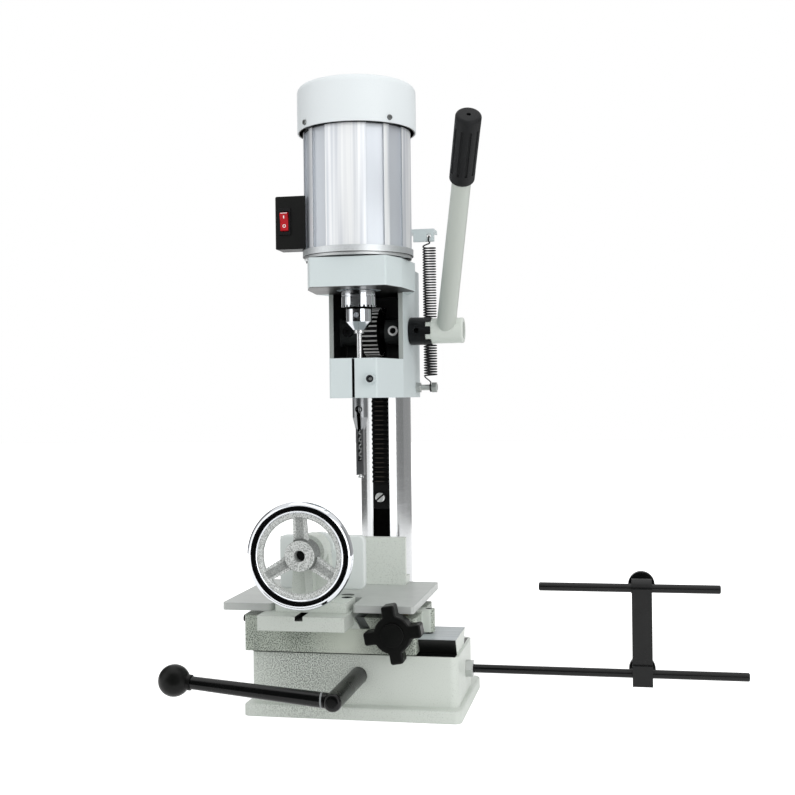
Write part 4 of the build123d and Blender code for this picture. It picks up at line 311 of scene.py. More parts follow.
def power_setting(name, description, watts):
    """Power property of a light."""
    return FloatProperty(name=name, description=description, default=watts, min=0, unit="POWER")


class MortiserColours(bpy.types.PropertyGroup):
    """Colours of the paints and mouldings."""

    head_paint: colour_setting("Head paint", "Cool pale grey of the head and the spring's bracket", "#CFD9DA")
    cover_paint: colour_setting("Cover paint", "Whiter paint of the motor's fan cover", "#E3E9EB")
    base_paint: colour_setting("Base paint", "Greyer white of the base, fence and clamp", "#D4DAD3")
    saddle_paint: colour_setting("Saddle paint", "Grey of the rough saddle casting", "#BDC5BA")
    moulding: colour_setting("Black mouldings", "Knob, ball, fan and switch box", "#0B0C0B")
    rocker: colour_setting("Rocker", "Switch rocker", "#9C141D")


class MortiserSizes(bpy.types.PropertyGroup):
    """Sizes of the fine pieces and of the paint's grain."""

    peel: FloatProperty(
        name="Orange peel", description="Width of one bump in the sprayed paint, in millimetres",
        default=1.3, min=0.5, max=10)
    edge: FloatProperty(
        name="Edge round", description="Radius that castings' edges are rubbed to",
        default=1.2 * MM, min=0, max=5 * MM, unit="LENGTH", subtype="DISTANCE")
    wire: FloatProperty(
        name="Spring wire", description="Diameter of the return spring's wire",
        default=2 * MM, min=1 * MM, max=4 * MM, unit="LENGTH", subtype="DISTANCE")
    coils: IntProperty(
        name="Spring coils", description="Turns of the return spring", default=49, min=10, max=80)


class MortiserStudio(bpy.types.PropertyGroup):
    """Camera, floor and light."""

    camera_place: FloatVectorProperty(
        name="Camera place", description="Where the camera stands",
        subtype="TRANSLATION", size=3, default=(0.325, -1.415, 0.370))
    camera_yaw: FloatProperty(
        name="Camera yaw", description="Turn of the view to the left",
        subtype="ANGLE", default=radians(11.1))
    camera_roll: FloatProperty(
        name="Camera roll", description="Clockwise lean of the camera",
        subtype="ANGLE", default=radians(0.7))
    focal_pixels: FloatProperty(
        name="Focal length", description="Focal length in pixels of the picture", default=1170, min=100)
    floor: colour_setting("Floor", "Pale studio floor", "#F4F4F4")
    key_power: power_setting("Key light", "Soft light from the right", 25)
    fill_power: power_setting("Fill light", "Soft light from the left", 9)
    top_power: power_setting("Top light", "Soft light from above", 10)
    surround: FloatProperty(
        name="Surround", description="Light of the white room on the object", default=0.64, min=0, max=1)


def sprayed_paint(name, colour, grain_colour, cover, soft):
    """Enamel sprayed on a sand casting: a soft gloss broken by orange peel, with the casting's darker grain
    showing through where the coat is thin."""
    sizes = bpy.context.scene.mortiser_sizes
    material, shader, place = start_material(name, {"IOR": 1.5, "Specular IOR Level": 0.35})
    # Peel is under 1 mm wide on the machine; drawn wider so that it shows in the picture
    peel = noise(place, sizes.peel, 3, 0.6)
    clouds = noise(place, 45, 2)
    grain = do_math("ADD", peel, do_math("MULTIPLY", clouds, 0.22))
    feed(shader, {
        "Base Color": mix(remap(grain, cover, cover + soft), colour, grain_colour),
        "Roughness": remap(clouds, low=0.30, high=0.48),
        "Normal": bumps(peel, 0.22, 0.4, sizes.edge / MM, samples=6)})
    return material


def darker_grain_patch(material, centre, near, far, colour):
    """Lay coarse darker grains over a paint, fading out round a centre in millimetres."""
    shader, place = open_material(material)
    grains = remap(noise(place, 1.4, 2), 0.43, 0.6)
    thin = fading_mask(place, centre, near, far)
    lay_over(shader, do_math("MULTIPLY", thin, grains), colour)


def head_paint(colour):
    """Head paint with painted shade: black in its window, slit and underside, so they read as recesses, dark
    grey round the pinion in the window, and grey on the window's jambs."""
    material = sprayed_paint("sprayed_enamel_head_casting", colour, "#B4BCBD", 0.76, 0.2)
    # Painted shade: black in the window, the slit and under the block, dark grey round the pinion, grey on
    # the jambs
    painted_shade_black = "#0B0C0C"
    jambs = (-48.5, 37.6, 419), (48.5, 38.4, 503), "#A3A9A6"
    window = (-42.4, 37.9, 418.1), (42.4, 108.6, 503.4), painted_shade_black
    round_pinion = (-42.2, 69, 438), (42.2, 105, 474), "#3A3D3D"
    underside = (-64, -60, 502.5), (64, 38, 503.5), "#1A1B1B"
    slit = (-1.6, -36, 370.5), (1.6, 0, 418), painted_shade_black
    return lay_boxes(material, jambs, window, round_pinion, underside, slit)


def base_paint(colour):
    """Base paint whose dovetail way is bare: planed grey on its top, and under its edge black with grease and
    with painted shade of the undercut.
    """
    material = sprayed_paint("sprayed_enamel_base", colour, "#A9AFA8", 0.68, 0.3)
    # Darker grains on the base's front, under the saddle's left end
    darker_grain_patch(material, (-50, -90, 62), 22, 90, "#767C76")
    _, place = open_material(material)
    # Planing marks about 2 mm apart along the way
    marks = drawn_noise(place, (150, 2, 2), 2)
    bare = mix(marks, "#8D9496", "#D3DADD")
    way_top = (-113, -90, 90.6), (130, 20, 91.6), bare
    # Painted shade: the undercut below the way's edge, black with grease and shade
    way_sides = (-130, -90, 71.6), (128.6, 20, 90.6), "#101110"
    return lay_boxes(material, way_top, way_sides)


def saddle_paint(colour):
    """Saddle's paint: a thin coat over a coarse sand casting, with painted light making it paler in the
    middle of its front, so that its left end stays darker as shade, and paler on the lug at its right."""
    material = sprayed_paint("sprayed_enamel_saddle", colour, "#596057", 0.56, 0.14)
    shader, place = open_material(material)
    # Painted light: a paler patch in the middle of the front, leaving the left end darker as shade
    lay_over(shader, fading_mask(place, (4, -95, 90), 10, 48), "#C9D0C4")
    return lay_boxes(material, ((77, -62, 92), (95, -38, 122), "#CDD3CC"))


def lever_paint():
    """Lever's paint: a dull grey on the tapered arm, with a thicker and paler coat on the hub."""
    material = sprayed_paint("sprayed_enamel_lever", "#BEC4BD", "#A7ADA6", 0.78, 0.25)
    return lay_rounds(material, (PINION, ALONG_X, 17, "#D3D9D2"))


def slide_paint(colour):
    """Cross slide's paint, with the slot in its nose painted black."""
    material = sprayed_paint("sprayed_enamel_slide", colour, "#A9AFA8", 0.66, 0.25)
    return lay_boxes(material, ((-45.6, -145, 119.3), (-36.4, -110, 124.3), "#161716"))


def cover_paint(colour):
    """Pressed steel cover: smooth enamel outside, painted shade inside, near black."""
    material = sprayed_paint("sprayed_enamel_cover", colour, "#CCD3D5", 0.74, 0.2)
    shader, place = open_material(material)
    # Painted shade inside the cover's wall
    hollow = inside_round(place, SPINDLE, ALONG_Z, 72.4)
    wall = inside_box(place, (-80, -80, 690), (80, 80, 743))
    lay_over(shader, do_math("MULTIPLY", hollow, wall), "#0E0F0F")
    return material


def ground_bar(name, colour, roughness, ring):
    """Ground steel bar: bright bands along its length, softened by the wheel's fine rings."""
    material, shader, place = start_material(
        name, {"Base Color": colour, "Metallic": 1.0, "Roughness": roughness})
    rings = drawn_noise(place, (60, 60, ring), 3)
    feed(shader, {
        "Roughness": remap(rings, low=roughness * 0.7, high=roughness * 1.5),
        "Normal": bumps(rings, 0.05, 0.1, 0.5)})
    return material


def column_steel():
    """Polished column: a bright ground bar whose milled groove for the rack is painted black as shade."""
    material = ground_bar("polished_steel_column", "#C4C6C7", 0.13, 0.8)
    # Painted shade: the rack's groove in black
    return lay_boxes(material, ((-11.4, 100, 100), (11.4, 140, 600), "#0C0C0C"))


def chisel_steel():
    """Ground chisel in dull tool steel: grey outside, with painted shade in black in its bore and its slot.
    """
    material = ground_bar("ground_chisel_steel", "#8B8D8F", 0.3, 0.6)
    bore_shade = "#080808"
    # Painted shade: black in the bore and the slot
    lay_rounds(material, (SPINDLE, ALONG_Z, 4.3, bore_shade))
    return lay_boxes(material, ((-2.1, -12, 292), (2.1, 0, 352), bore_shade))


def milled_plate(name, colour, metallic=1.0):
    """Face-milled steel or iron: dull grey with straight cutter lines about 1 mm apart."""
    material, shader, place = start_material(
        name, {"Base Color": colour, "Metallic": metallic, "Roughness": 0.38})
    cuts = drawn_noise(place, (40, 1.2, 1.2), 4)
    stain = noise(place, 25, 3)
    feed(shader, {
        "Base Color": mix(stain, colour, shade(colour, 0.78)),
        "Roughness": remap(cuts, low=0.28, high=0.5),
        "Normal": bumps(cuts, 0.08, 0.2, 0.6)})
    return material


def slotted_steel(name, colour, centre, tilt, slot):
    """Turned screw head: bright, with its slot painted black as shade."""
    material = milled_plate(name, colour)
    shader, place = open_material(material)
    inputs = {"Location": centre, "Rotation": (0, tilt, 0), "Vector": place}
    turned = add_node(place, "ShaderNodeMapping", inputs, vector_type="TEXTURE").outputs[0]
    reach = 9  # past the head's edge
    # Painted shade: the slot in black
    groove = inside_box(turned, (-reach, -reach, -slot / 2), (reach, reach, slot / 2))
    lay_over(shader, groove, "#0A0A0A")
    return material


def pinion_steel():
    """Hobbed pinion: tooth tips rubbed bright by the rack, the gaps between them painted black as shade."""
    material = milled_plate("hobbed_gear_steel", "#E4E5E3", metallic=0.6)
    # Painted shade: black in the gaps between the teeth
    return lay_rounds(material, (PINION, ALONG_X, 30.6, "#0A0A0A"))


def black_oxide(name, colour, roughness):
    """Steel blackened in hot salts: near black, a satin sheen, worn a little greyer in patches."""
    material, shader, place = start_material(
        name, {"Metallic": 0.3, "Roughness": roughness, "IOR": 1.5, "Specular IOR Level": 0.18})
    patches = noise(place, 14, 4)
    feed(shader, {
        "Base Color": mix(patches, colour, shade(colour, 2.2)),
        "Roughness": remap(patches, low=roughness * 0.75, high=roughness * 1.3),
        "Normal": bumps(noise(place, 1.0, 2), 0.06, 0.2, 0.5)})
    return material


def window_screw_steel(paint):
    """Screws of the head: blackened, but bright on the ring of the one at the window's right, whose socket is
    painted black as shade, and painted over on the nose, round a dark ring of painted shade and a bright
    middle."""
    material = black_oxide("black_oxide_head_screws", "#101112", 0.38)
    window_screw, nose_screw = (30, 0, 456), (22, 0, 393)
    lay_boxes(material, ((20, 50, 440), (40, 80, 470), "#E9EAE9"))
    # Painted shade: the socket of the window's screw in black
    lay_rounds(material, (window_screw, ALONG_Y, 3.9, "#060606"))
    lay_boxes(material, ((10, -60, 380), (40, -34, 405), paint))
    # Painted shade: a dark ring round the nose screw's bright middle
    return lay_rounds(material, (nose_screw, ALONG_Y, 4.6, "#34373A"), (nose_screw, ALONG_Y, 2.1, "#A9AEAD"))


def rack_steel():
    """Rack in black oxide, with its tooth tips worn a little brighter where the pinion runs."""
    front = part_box("column_rack")[0].y / MM
    material = black_oxide("black_oxide_rack", "#0A0B0B", 0.45)
    return lay_boxes(material, ((-6.5, front - 1, 250), (5, front + 0.5, 600), "#33302C"))


def gloss_black(name):
    """Black stoving enamel on drawn bar: deep black with a sharp line of light along it, dulled by hands."""
    material, shader, place = start_material(
        name, {"Base Color": "#080909", "IOR": 1.5, "Specular IOR Level": 0.3})
    rub = noise(place, 22, 4)
    # Runs in the enamel are about 4 mm wide
    runs = noise(place, 4, 1)
    feed(shader, {
        "Roughness": remap(rub, low=0.14, high=0.36),
        "Normal": bumps(runs, 0.05, 0.3, 0.7)})
    return material


def crank_enamel():
    """Black enamel of the crank's arm, worn to bare steel in a ring where it screws up to the shaft."""
    material = gloss_black("stoved_enamel_crank")
    return lay_boxes(material, ((1.2, -300, 20), (3.2, -100, 80), "#808384"))


def threaded_steel(name, colour, pitch):
    """Steel with a rolled thread along Y: fine bright and dark bands, one for each turn."""
    material, shader, place = start_material(
        name, {"Base Color": colour, "Metallic": 1.0, "Roughness": 0.32})
    # A wave's bands come every pi / 10 of its scaled coordinates
    inputs = {"Scale": per_mm(pitch) * pi / 10, "Detail": 0, "Vector": place}
    wave = add_node(place, "ShaderNodeTexWave", inputs, wave_type="BANDS", bands_direction="Y")
    inputs = {"Strength": 0.7, "Distance": 0.8 * MM, "Height": wave.outputs["Fac"]}
    bump = add_node(place, "ShaderNodeBump", inputs)
    grease = noise(place, 6, 2)
    feed(shader, {"Roughness": remap(grease, low=0.22, high=0.45), "Normal": bump.outputs[0]})
    # The end in the wheel's hub is painted black as the bore's shade
    return lay_boxes(material, ((-60, -170, 170), (0, -137, 220), "#0A0A0A"))


def extruded_aluminium():
    """Extruded motor shell, etched and clear anodised: pale satin metal with faint die lines up its length,
    whose flutes are painted a little darker than the lands, and darker still along their edges, as shade."""
    material, shader, place = start_material("anodised_aluminium_extruded", {"Metallic": 0.45})
    lines = drawn_noise(place, (1.5, 1.5, 400), 3)
    # Streaks of the etch about 7 mm wide
    etch = remap(drawn_noise(place, (7, 7, 400), 2), 0.35, 0.62)
    feed(shader, {
        "Base Color": mix(etch, "#CDD1D7", "#F3F5F6"),
        "Roughness": remap(lines, low=0.34, high=0.5),
        "Normal": bumps(lines, 0.06, 0.15, 0.8)})
    # Painted shade along the flutes' edges, and a lighter painted shade on their floors
    recess_shade = SPINDLE, ALONG_Z, 66.2, "#868B91"
    flutes = SPINDLE, ALONG_Z, 65.4, "#CACFD5"
    return lay_rounds(material, recess_shade, flutes)


def cast_aluminium(name, colour, grain_mm):
    """Die-cast aluminium, tumbled: dull silver with a fine pebbled skin."""
    material, shader, place = start_material(name, {"Metallic": 1.0, "Roughness": 0.5})
    skin = noise(place, grain_mm, 3)
    feed(shader, {
        "Base Color": mix(skin, shade(colour, 0.7), colour),
        "Roughness": remap(skin, low=0.38, high=0.6),
        "Normal": bumps(skin, 0.25, 0.3, 0.8)})
    return material


def flange_aluminium():
    """Die-cast flange, bright on its plate, its underside and spigot painted dark as the shade of the gap
    under it.
    """
    material = cast_aluminium("die_cast_aluminium_flange", "#DDE1E3", 1.6)
    # Painted shade: the underside and the spigot, in the gap's shade
    return lay_boxes(material, ((-80, -80, 538), (80, 80, 544.3), "#1C1D1D"))


def chrome_plate(name, roughness):
    """Bright chrome over polished steel: sharp reflections, with faint wipe marks in the gloss."""
    material, shader, place = start_material(
        name, {"Base Color": "#DCDFE3", "Metallic": 1.0, "Roughness": roughness})
    wipe = noise(place, 9, 5)
    feed(shader, {
        "Roughness": remap(wipe, low=roughness * 0.6, high=roughness * 1.8),
        "Normal": rounded(place, 0.5)})
    return material


def chuck_chrome():
    """Chuck in bright chrome, with painted shade in black between the sleeve's teeth."""
    material = chrome_plate("bright_chrome_chuck", 0.1)
    shader, place = open_material(material)
    ring = inside_round(place, SPINDLE, ALONG_Z, 21.35)
    level = inside_box(place, (-25, -25, 479.5), (25, 25, 484.6))
    # Painted shade: black between the sleeve's teeth
    lay_over(shader, do_math("MULTIPLY", ring, level), "#070707")
    return material


def wheel_casting(middle):
    """Wheel left as tumbled casting: a coarse pebbled skin, pale on its tops and dark in its pits, with
    painted shade in its spokes' hollows, round its hub's foot and in its bore."""
    material, shader, place = start_material("tumbled_iron_casting", {"Metallic": 0.2})
    # Pebbles under 1 mm on the real casting, drawn wider so that they show in the picture
    skin = noise(place, 1.4, 3, 0.6)
    pits = remap(skin, 0.34, 0.58)
    skin_colour = mix(pits, "#868A87", "#DFE2E0")
    feed(shader, {
        "Base Color": skin_colour,
        "Roughness": remap(pits, low=0.62, high=0.38),
        "Normal": bumps(skin, 0.5, 0.5, 0.6)})
    shade_spokes(material, middle)
    hub = middle / MM
    # Painted shade round the hub's foot
    corner = inside_round(place, hub, ALONG_Y, 19.2)
    lay_over(shader, do_math("MULTIPLY", corner, 0.75), "#565A57")
    # Painted shade in the bore; the hub's face keeps the skin's colour
    return lay_rounds(material, (hub, ALONG_Y, 17.2, skin_colour), (hub, ALONG_Y, 6.4, "#0C0D0C"))


def shade_spokes(material, middle):
    """Lay painted shade in the hollows of the wheel's three spokes."""
    shader, place = open_material(material)
    low, high = middle / MM + Vector((-4.2, -170, 18)), middle / MM + Vector((4.2, 0, 44))
    for turn in range(3):
        inputs = {"Center": middle, "Axis": LENGTHWISE, "Angle": radians(120 * turn), "Vector": place}
        turned = add_node(place, "ShaderNodeVectorRotate", inputs).outputs[0]
        # Painted shade in each spoke's hollow
        recess_shade = do_math("MULTIPLY", inside_box(turned, low, high), 0.55)
        lay_over(shader, recess_shade, "#6B6F6C")


def moulded_plastic(name, colour, roughness, grain_mm):
    """Moulded plastic from a spark-eroded tool: even colour, a low sheen and a fine grain."""
    material, shader, place = start_material(name, {"IOR": 1.53, "Specular IOR Level": 0.15})
    grain = noise(place, grain_mm, 2)
    rub = noise(place, 18, 2)
    feed(shader, {
        "Base Color": mix(rub, colour, shade(colour, 1.6)),
        "Roughness": remap(rub, low=roughness * 0.8, high=roughness * 1.25),
        "Normal": bumps(grain, 0.12, 0.2, 0.7)})
    return material


class MORTISER_OT_castings(bpy.types.Operator):
    """Paint the castings"""

    bl_idname = "mortiser.castings"
    bl_label = "Paint castings"

    def execute(self, context):
        colours = context.scene.mortiser_colours
        assign(head_paint(colours.head_paint), "head_casting")
        assign(cover_paint(colours.cover_paint), "fan_cover")
        assign(sprayed_paint("sprayed_enamel_bracket", colours.head_paint, "#BAC2C3", 0.78, 0.2),
               "spring_bracket")
        assign(sprayed_paint("sprayed_enamel_jaw", "#DCE2E0", "#C2C8C6", 0.78, 0.2), "clamp_jaw")
        assign(base_paint(colours.base_paint), "base_casting")
        assign(slide_paint("#C9CFC8"), "cross_slide")
        assign(sprayed_paint("sprayed_enamel_clamp", colours.base_paint, "#A9AFA8", 0.66, 0.25),
               "clamp_bracket", "rear_fence")
        assign(lever_paint(), "lever")
        assign(saddle_paint(colours.saddle_paint), "saddle")
        return {"FINISHED"}


class MORTISER_OT_steel(bpy.types.Operator):
    """Finish the bright and black steel"""

    bl_idname = "mortiser.steel"
    bl_label = "Finish steel"

    def execute(self, context):
        self.finish_bright()
        self.finish_black(context.scene.mortiser_colours.head_paint)
        return {"FINISHED"}

    def finish_bright(self):
        """Ground, milled and threaded pieces, with the bronze that runs against them."""
        assign(column_steel(), "column")
        assign(chisel_steel(), "chisel")
        assign(ground_bar("ground_tool_steel", "#D5D7D8", 0.25, 0.6),
               "auger", "motor_shaft", "motor_bearings", "chuck_jaws", "crank_pinion", "saddle_rack", "rotor",
               "stator")
        assign(milled_plate("planed_cast_iron_table", "#C3C7C4", metallic=0.1), "table_plate")
        assign(milled_plate("scraped_iron_gib", "#8B8F8F"), "saddle_gib", "table_gib")
        assign(milled_plate("zinc_plated_steel", "#D0D3D1"), "stop_rail_nut", "spring_anchor")
        assign(milled_plate("sintered_bronze", "#8C7A5C"), "pinion_bushes", "feed_nut")
        assign(threaded_steel("rolled_thread_steel", "#C9CBCC", 3), "feed_screw", "clamp_screw")
        assign(pinion_steel(), "drive_pinion")

    def finish_black(self, paint):
        """Blackened and enamelled pieces."""
        assign(black_oxide("black_oxide_steel", "#101112", 0.38),
               "saddle_screws", "table_screws", "table_cap_screws", "clutch_collar", "lever_end_screw",
               "pinion_shaft", "column_screws")
        assign(crank_enamel(), "crank_arm")
        assign(gloss_black("stoved_enamel_black"),
               "crank_shaft", "stop_rail", "stop_rod", "stop_bracket", "stop_thumb_screws")
        assign(rack_steel(), "column_rack")
        assign(window_screw_steel(paint), "head_screws")


class MORTISER_OT_motor(bpy.types.Operator):
    """Finish the motor and the chuck"""

    bl_idname = "mortiser.motor"
    bl_label = "Finish motor and chuck"

    def execute(self, context):
        assign(extruded_aluminium(), "motor_housing")
        assign(flange_aluminium(), "motor_flange")
        # Painted shade: the shield inside the cover is near black
        assign(black_oxide("black_lacquered_shield", "#0E0F0F", 0.5), "motor_shield")
        assign(chuck_chrome(), "chuck_body", "chuck_sleeve")
        return {"FINISHED"}


class MORTISER_OT_mouldings(bpy.types.Operator):
    """Finish the plastic mouldings"""

    bl_idname = "mortiser.mouldings"
    bl_label = "Finish mouldings"

    def execute(self, context):
        colours = context.scene.mortiser_colours
        black = colours.moulding
        assign(moulded_plastic("moulded_abs_black", black, 0.42, 0.8), "switch_box", "cable_gland", "fan")
        assign(moulded_plastic("moulded_phenolic_black", black, 0.34, 1.4), "star_knob", "crank_ball")
        assign(moulded_plastic("moulded_pvc_grip", "#151617", 0.5, 1.0), "lever_grip")
        assign(moulded_plastic("polished_nylon_bezel", "#0E0E0F", 0.25, 1.0), "switch_bezel")
        assign(moulded_plastic("polished_polycarbonate_red", colours.rocker, 0.22, 1.0), "switch_rocker")
        return {"FINISHED"}


class MORTISER_OT_handwheel(bpy.types.Operator):
    """Model the clamp's handwheel: chromed rim, dished spokes and a proud hub"""

    bl_idname = "mortiser.handwheel"
    bl_label = "Model handwheel"

    def execute(self, context):
        low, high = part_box("handwheel")
        middle = Vector(((low.x + high.x) / 2, 0, (low.z + high.z) / 2))
        tube = 7.4 * MM
        rim_radius = (high.x - low.x) / 2 - tube
        # The rim stands foremost, and the hub reaches to the back
        rim_y, hub_front, hub_back = low.y + tube, low.y + 4 * MM, high.y
        self.turn_rim(middle, rim_y, rim_radius, tube)
        casting = bmesh.new()
        self.turn_ring(casting, middle, rim_y, rim_radius - tube)
        self.cast_spokes(casting, middle, rim_y, rim_radius, hub_front)
        self.turn_hub(casting, middle, hub_front, hub_back)
        body = keep_piece(casting, "handwheel_casting", wheel_casting(middle), "clamp_wheel")
        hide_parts("handwheel")
        return {"FINISHED"}

    def turn_rim(self, middle, rim_y, rim_radius, tube):
        """Round chromed rim."""
        rim = bmesh.new()
        start = Matrix.Translation(middle + Vector((rim_radius, rim_y, 0)))
        sweep_circle(rim, start, tube, middle, LENGTHWISE, segments=28, steps=96)
        keep_piece(rim, "handwheel_rim", chrome_plate("bright_chrome_rim", 0.06), "clamp_wheel")

    def turn_ring(self, casting, middle, rim_y, radius):
        """Rough inner edge of the rim."""
        half_width, half_depth = 4.2 * MM, 5.5 * MM
        place = Matrix.Translation(middle + Vector((radius, rim_y, 0)))
        start = place @ Matrix.Diagonal((half_width, half_depth, 1, 1))
        sweep_circle(casting, start, 1, middle, LENGTHWISE, segments=16, steps=72)

    def cast_spokes(self, casting, middle, rim_y, rim_radius, hub_front):
        """Three spokes that lean back from the rim to the hub, with raised edges."""
        inner, outer, width, thick = 12 * MM, rim_radius - 3 * MM, 14 * MM, 9 * MM
        flare, root_depth, lip, hollow, edge = 1.2, 10 * MM, 2.4 * MM, 1.5 * MM, 1.1 * MM
        place = Matrix.Translation(middle + Vector((0, rim_y, (inner + outer) / 2)))
        shape = place @ Matrix.Diagonal((width, thick, outer - inner, 1))
        verts = bmesh.ops.create_cube(casting, size=1, matrix=shape)["verts"]
        roots = [vert for vert in verts if vert.co.z < middle.z + (inner + outer) / 2]
        bmesh.ops.translate(casting, verts=roots, vec=(0, hub_front + root_depth - rim_y, 0))
        bmesh.ops.scale(casting, verts=roots, vec=(flare, 1, 1), space=Matrix.Translation(-middle))
        front = min(linked(verts, "link_faces"), key=lambda face: face.normal.y)
        bmesh.ops.inset_individual(casting, faces=[front], thickness=lip, depth=-hollow)
        edged = round_edges(casting, linked(verts, "link_edges"), edge, 3)
        faces = linked(edged, "link_faces")
        spoke = list(dict.fromkeys(part for face in faces for part in (face, *face.edges, *face.verts)))
        bmesh.ops.spin(casting, geom=spoke, cent=middle, axis=LENGTHWISE, angle=radians(240), steps=2,
                       use_duplicate=True)

    def turn_hub(self, casting, middle, hub_front, hub_back):
        """Hub with a round face and the hole that the screw's end is pinned in."""
        radius, wall, taper, bore_depth, edge = 17.5 * MM, 11 * MM, 0.05 * MM, 13 * MM, 1.6 * MM
        place = Matrix.Translation(middle + Vector((0, (hub_front + hub_back) / 2, 0)))
        verts = bmesh.ops.create_cone(
            casting, cap_ends=True, segments=48, radius1=radius, radius2=radius, depth=hub_back - hub_front,
            matrix=place @ Matrix.Rotation(pi / 2, 4, "X"))["verts"]
        front = min(linked(verts, "link_faces"), key=lambda face: face.normal.y)
        rim = list(front.edges)
        bmesh.ops.inset_individual(casting, faces=[front], thickness=wall)
        bmesh.ops.inset_individual(casting, faces=[front], thickness=taper, depth=-bore_depth)
        round_edges(casting, rim, edge, 3)


def draw_wire(mesh_builder, end, turns):
    """Carry a wire's end through turns, each a centre, an axis, an angle, a rise and a count of steps."""
    for centre, axis, angle, rise, steps in turns:
        end = bmesh.ops.spin(
            mesh_builder, geom=end, cent=centre, axis=axis, angle=angle,
            dvec=(0, 0, rise / steps), steps=steps)["geom_last"]
    last = [part for part in end if isinstance(part, bmesh.types.BMEdge)]
    bmesh.ops.contextual_create(mesh_builder, geom=last)


class MORTISER_OT_spring(bpy.types.Operator):
    """Wind the return spring and its two hooks"""

    bl_idname = "mortiser.spring"
    bl_label = "Wind return spring"

    def execute(self, context):
        sizes = context.scene.mortiser_sizes
        low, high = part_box("return_spring")
        axis = Vector(((low.x + high.x) / 2, (low.y + high.y) / 2, 0))
        radius = (high.x - low.x - sizes.wire) / 2
        bottom, top = 398.5 * MM, 571 * MM
        tab_web, anchor = 580.5 * MM, 383 * MM
        tab_loop, anchor_loop = 4.8 * MM, 5.3 * MM
        hook, coil_steps, bend_steps, hook_steps = radians(310), 20, 12, 24
        offset = axis + Vector((-radius / 2, 0, 0))
        above = (
            (axis, UPRIGHT, 2 * pi * sizes.coils, top - bottom, coil_steps * sizes.coils),
            (offset, UPRIGHT, pi, tab_web - tab_loop - top, bend_steps),
            (axis + Vector((0, 0, tab_web)), SIDEWAYS, hook, 0, hook_steps),
        )
        below = (
            (offset, UPRIGHT, -pi, anchor + anchor_loop - bottom, bend_steps),
            (axis + Vector((0, 0, anchor)), SIDEWAYS, hook, 0, hook_steps),
        )
        winding = bmesh.new()
        start = Matrix.Translation(axis + Vector((-radius, 0, bottom))) @ Matrix.Rotation(pi / 2, 4, "X")
        for turns in (above, below):
            ring = bmesh.ops.create_circle(winding, segments=10, radius=sizes.wire / 2, matrix=start)["verts"]
            draw_wire(winding, ring + linked(ring, "link_edges"), turns)
        material = black_oxide("oil_tempered_spring_wire", "#141516", 0.3)
        spring = keep_piece(winding, "return_spring_wire", material, None)
        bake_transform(spring)
        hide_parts("return_spring")
        return {"FINISHED"}


def slotted_head(mesh_builder, place, radius, height, slot):
    """Add a pan head with a straight slot, standing on a matrix's plane."""
    lifted = place @ Matrix.Translation((0, 0, height / 2))
    verts = bmesh.ops.create_cone(
        mesh_builder, cap_ends=True, segments=24, radius1=radius, radius2=0.85 * radius, depth=height,
        matrix=lifted)["verts"]
    geometry = [*verts, *linked(verts, "link_edges"), *linked(verts, "link_faces")]
    across = place.to_3x3() @ Vector((0, 1, 0))
    for side in (-slot / 2, slot / 2):
        geometry = bmesh.ops.bisect_plane(
            mesh_builder, geom=geometry, plane_co=place.translation + side * across, plane_no=across)["geom"]
    home = place.inverted()
    strip = []
    for face in [part for part in geometry if isinstance(part, bmesh.types.BMFace)]:
        middle = home @ face.calc_center_median()
        if middle.z > 0.99 * height and abs(middle.y) < slot / 2:
            strip.append(face)
    bmesh.ops.inset_individual(mesh_builder, faces=strip, thickness=0.02 * MM, depth=-0.6 * height)


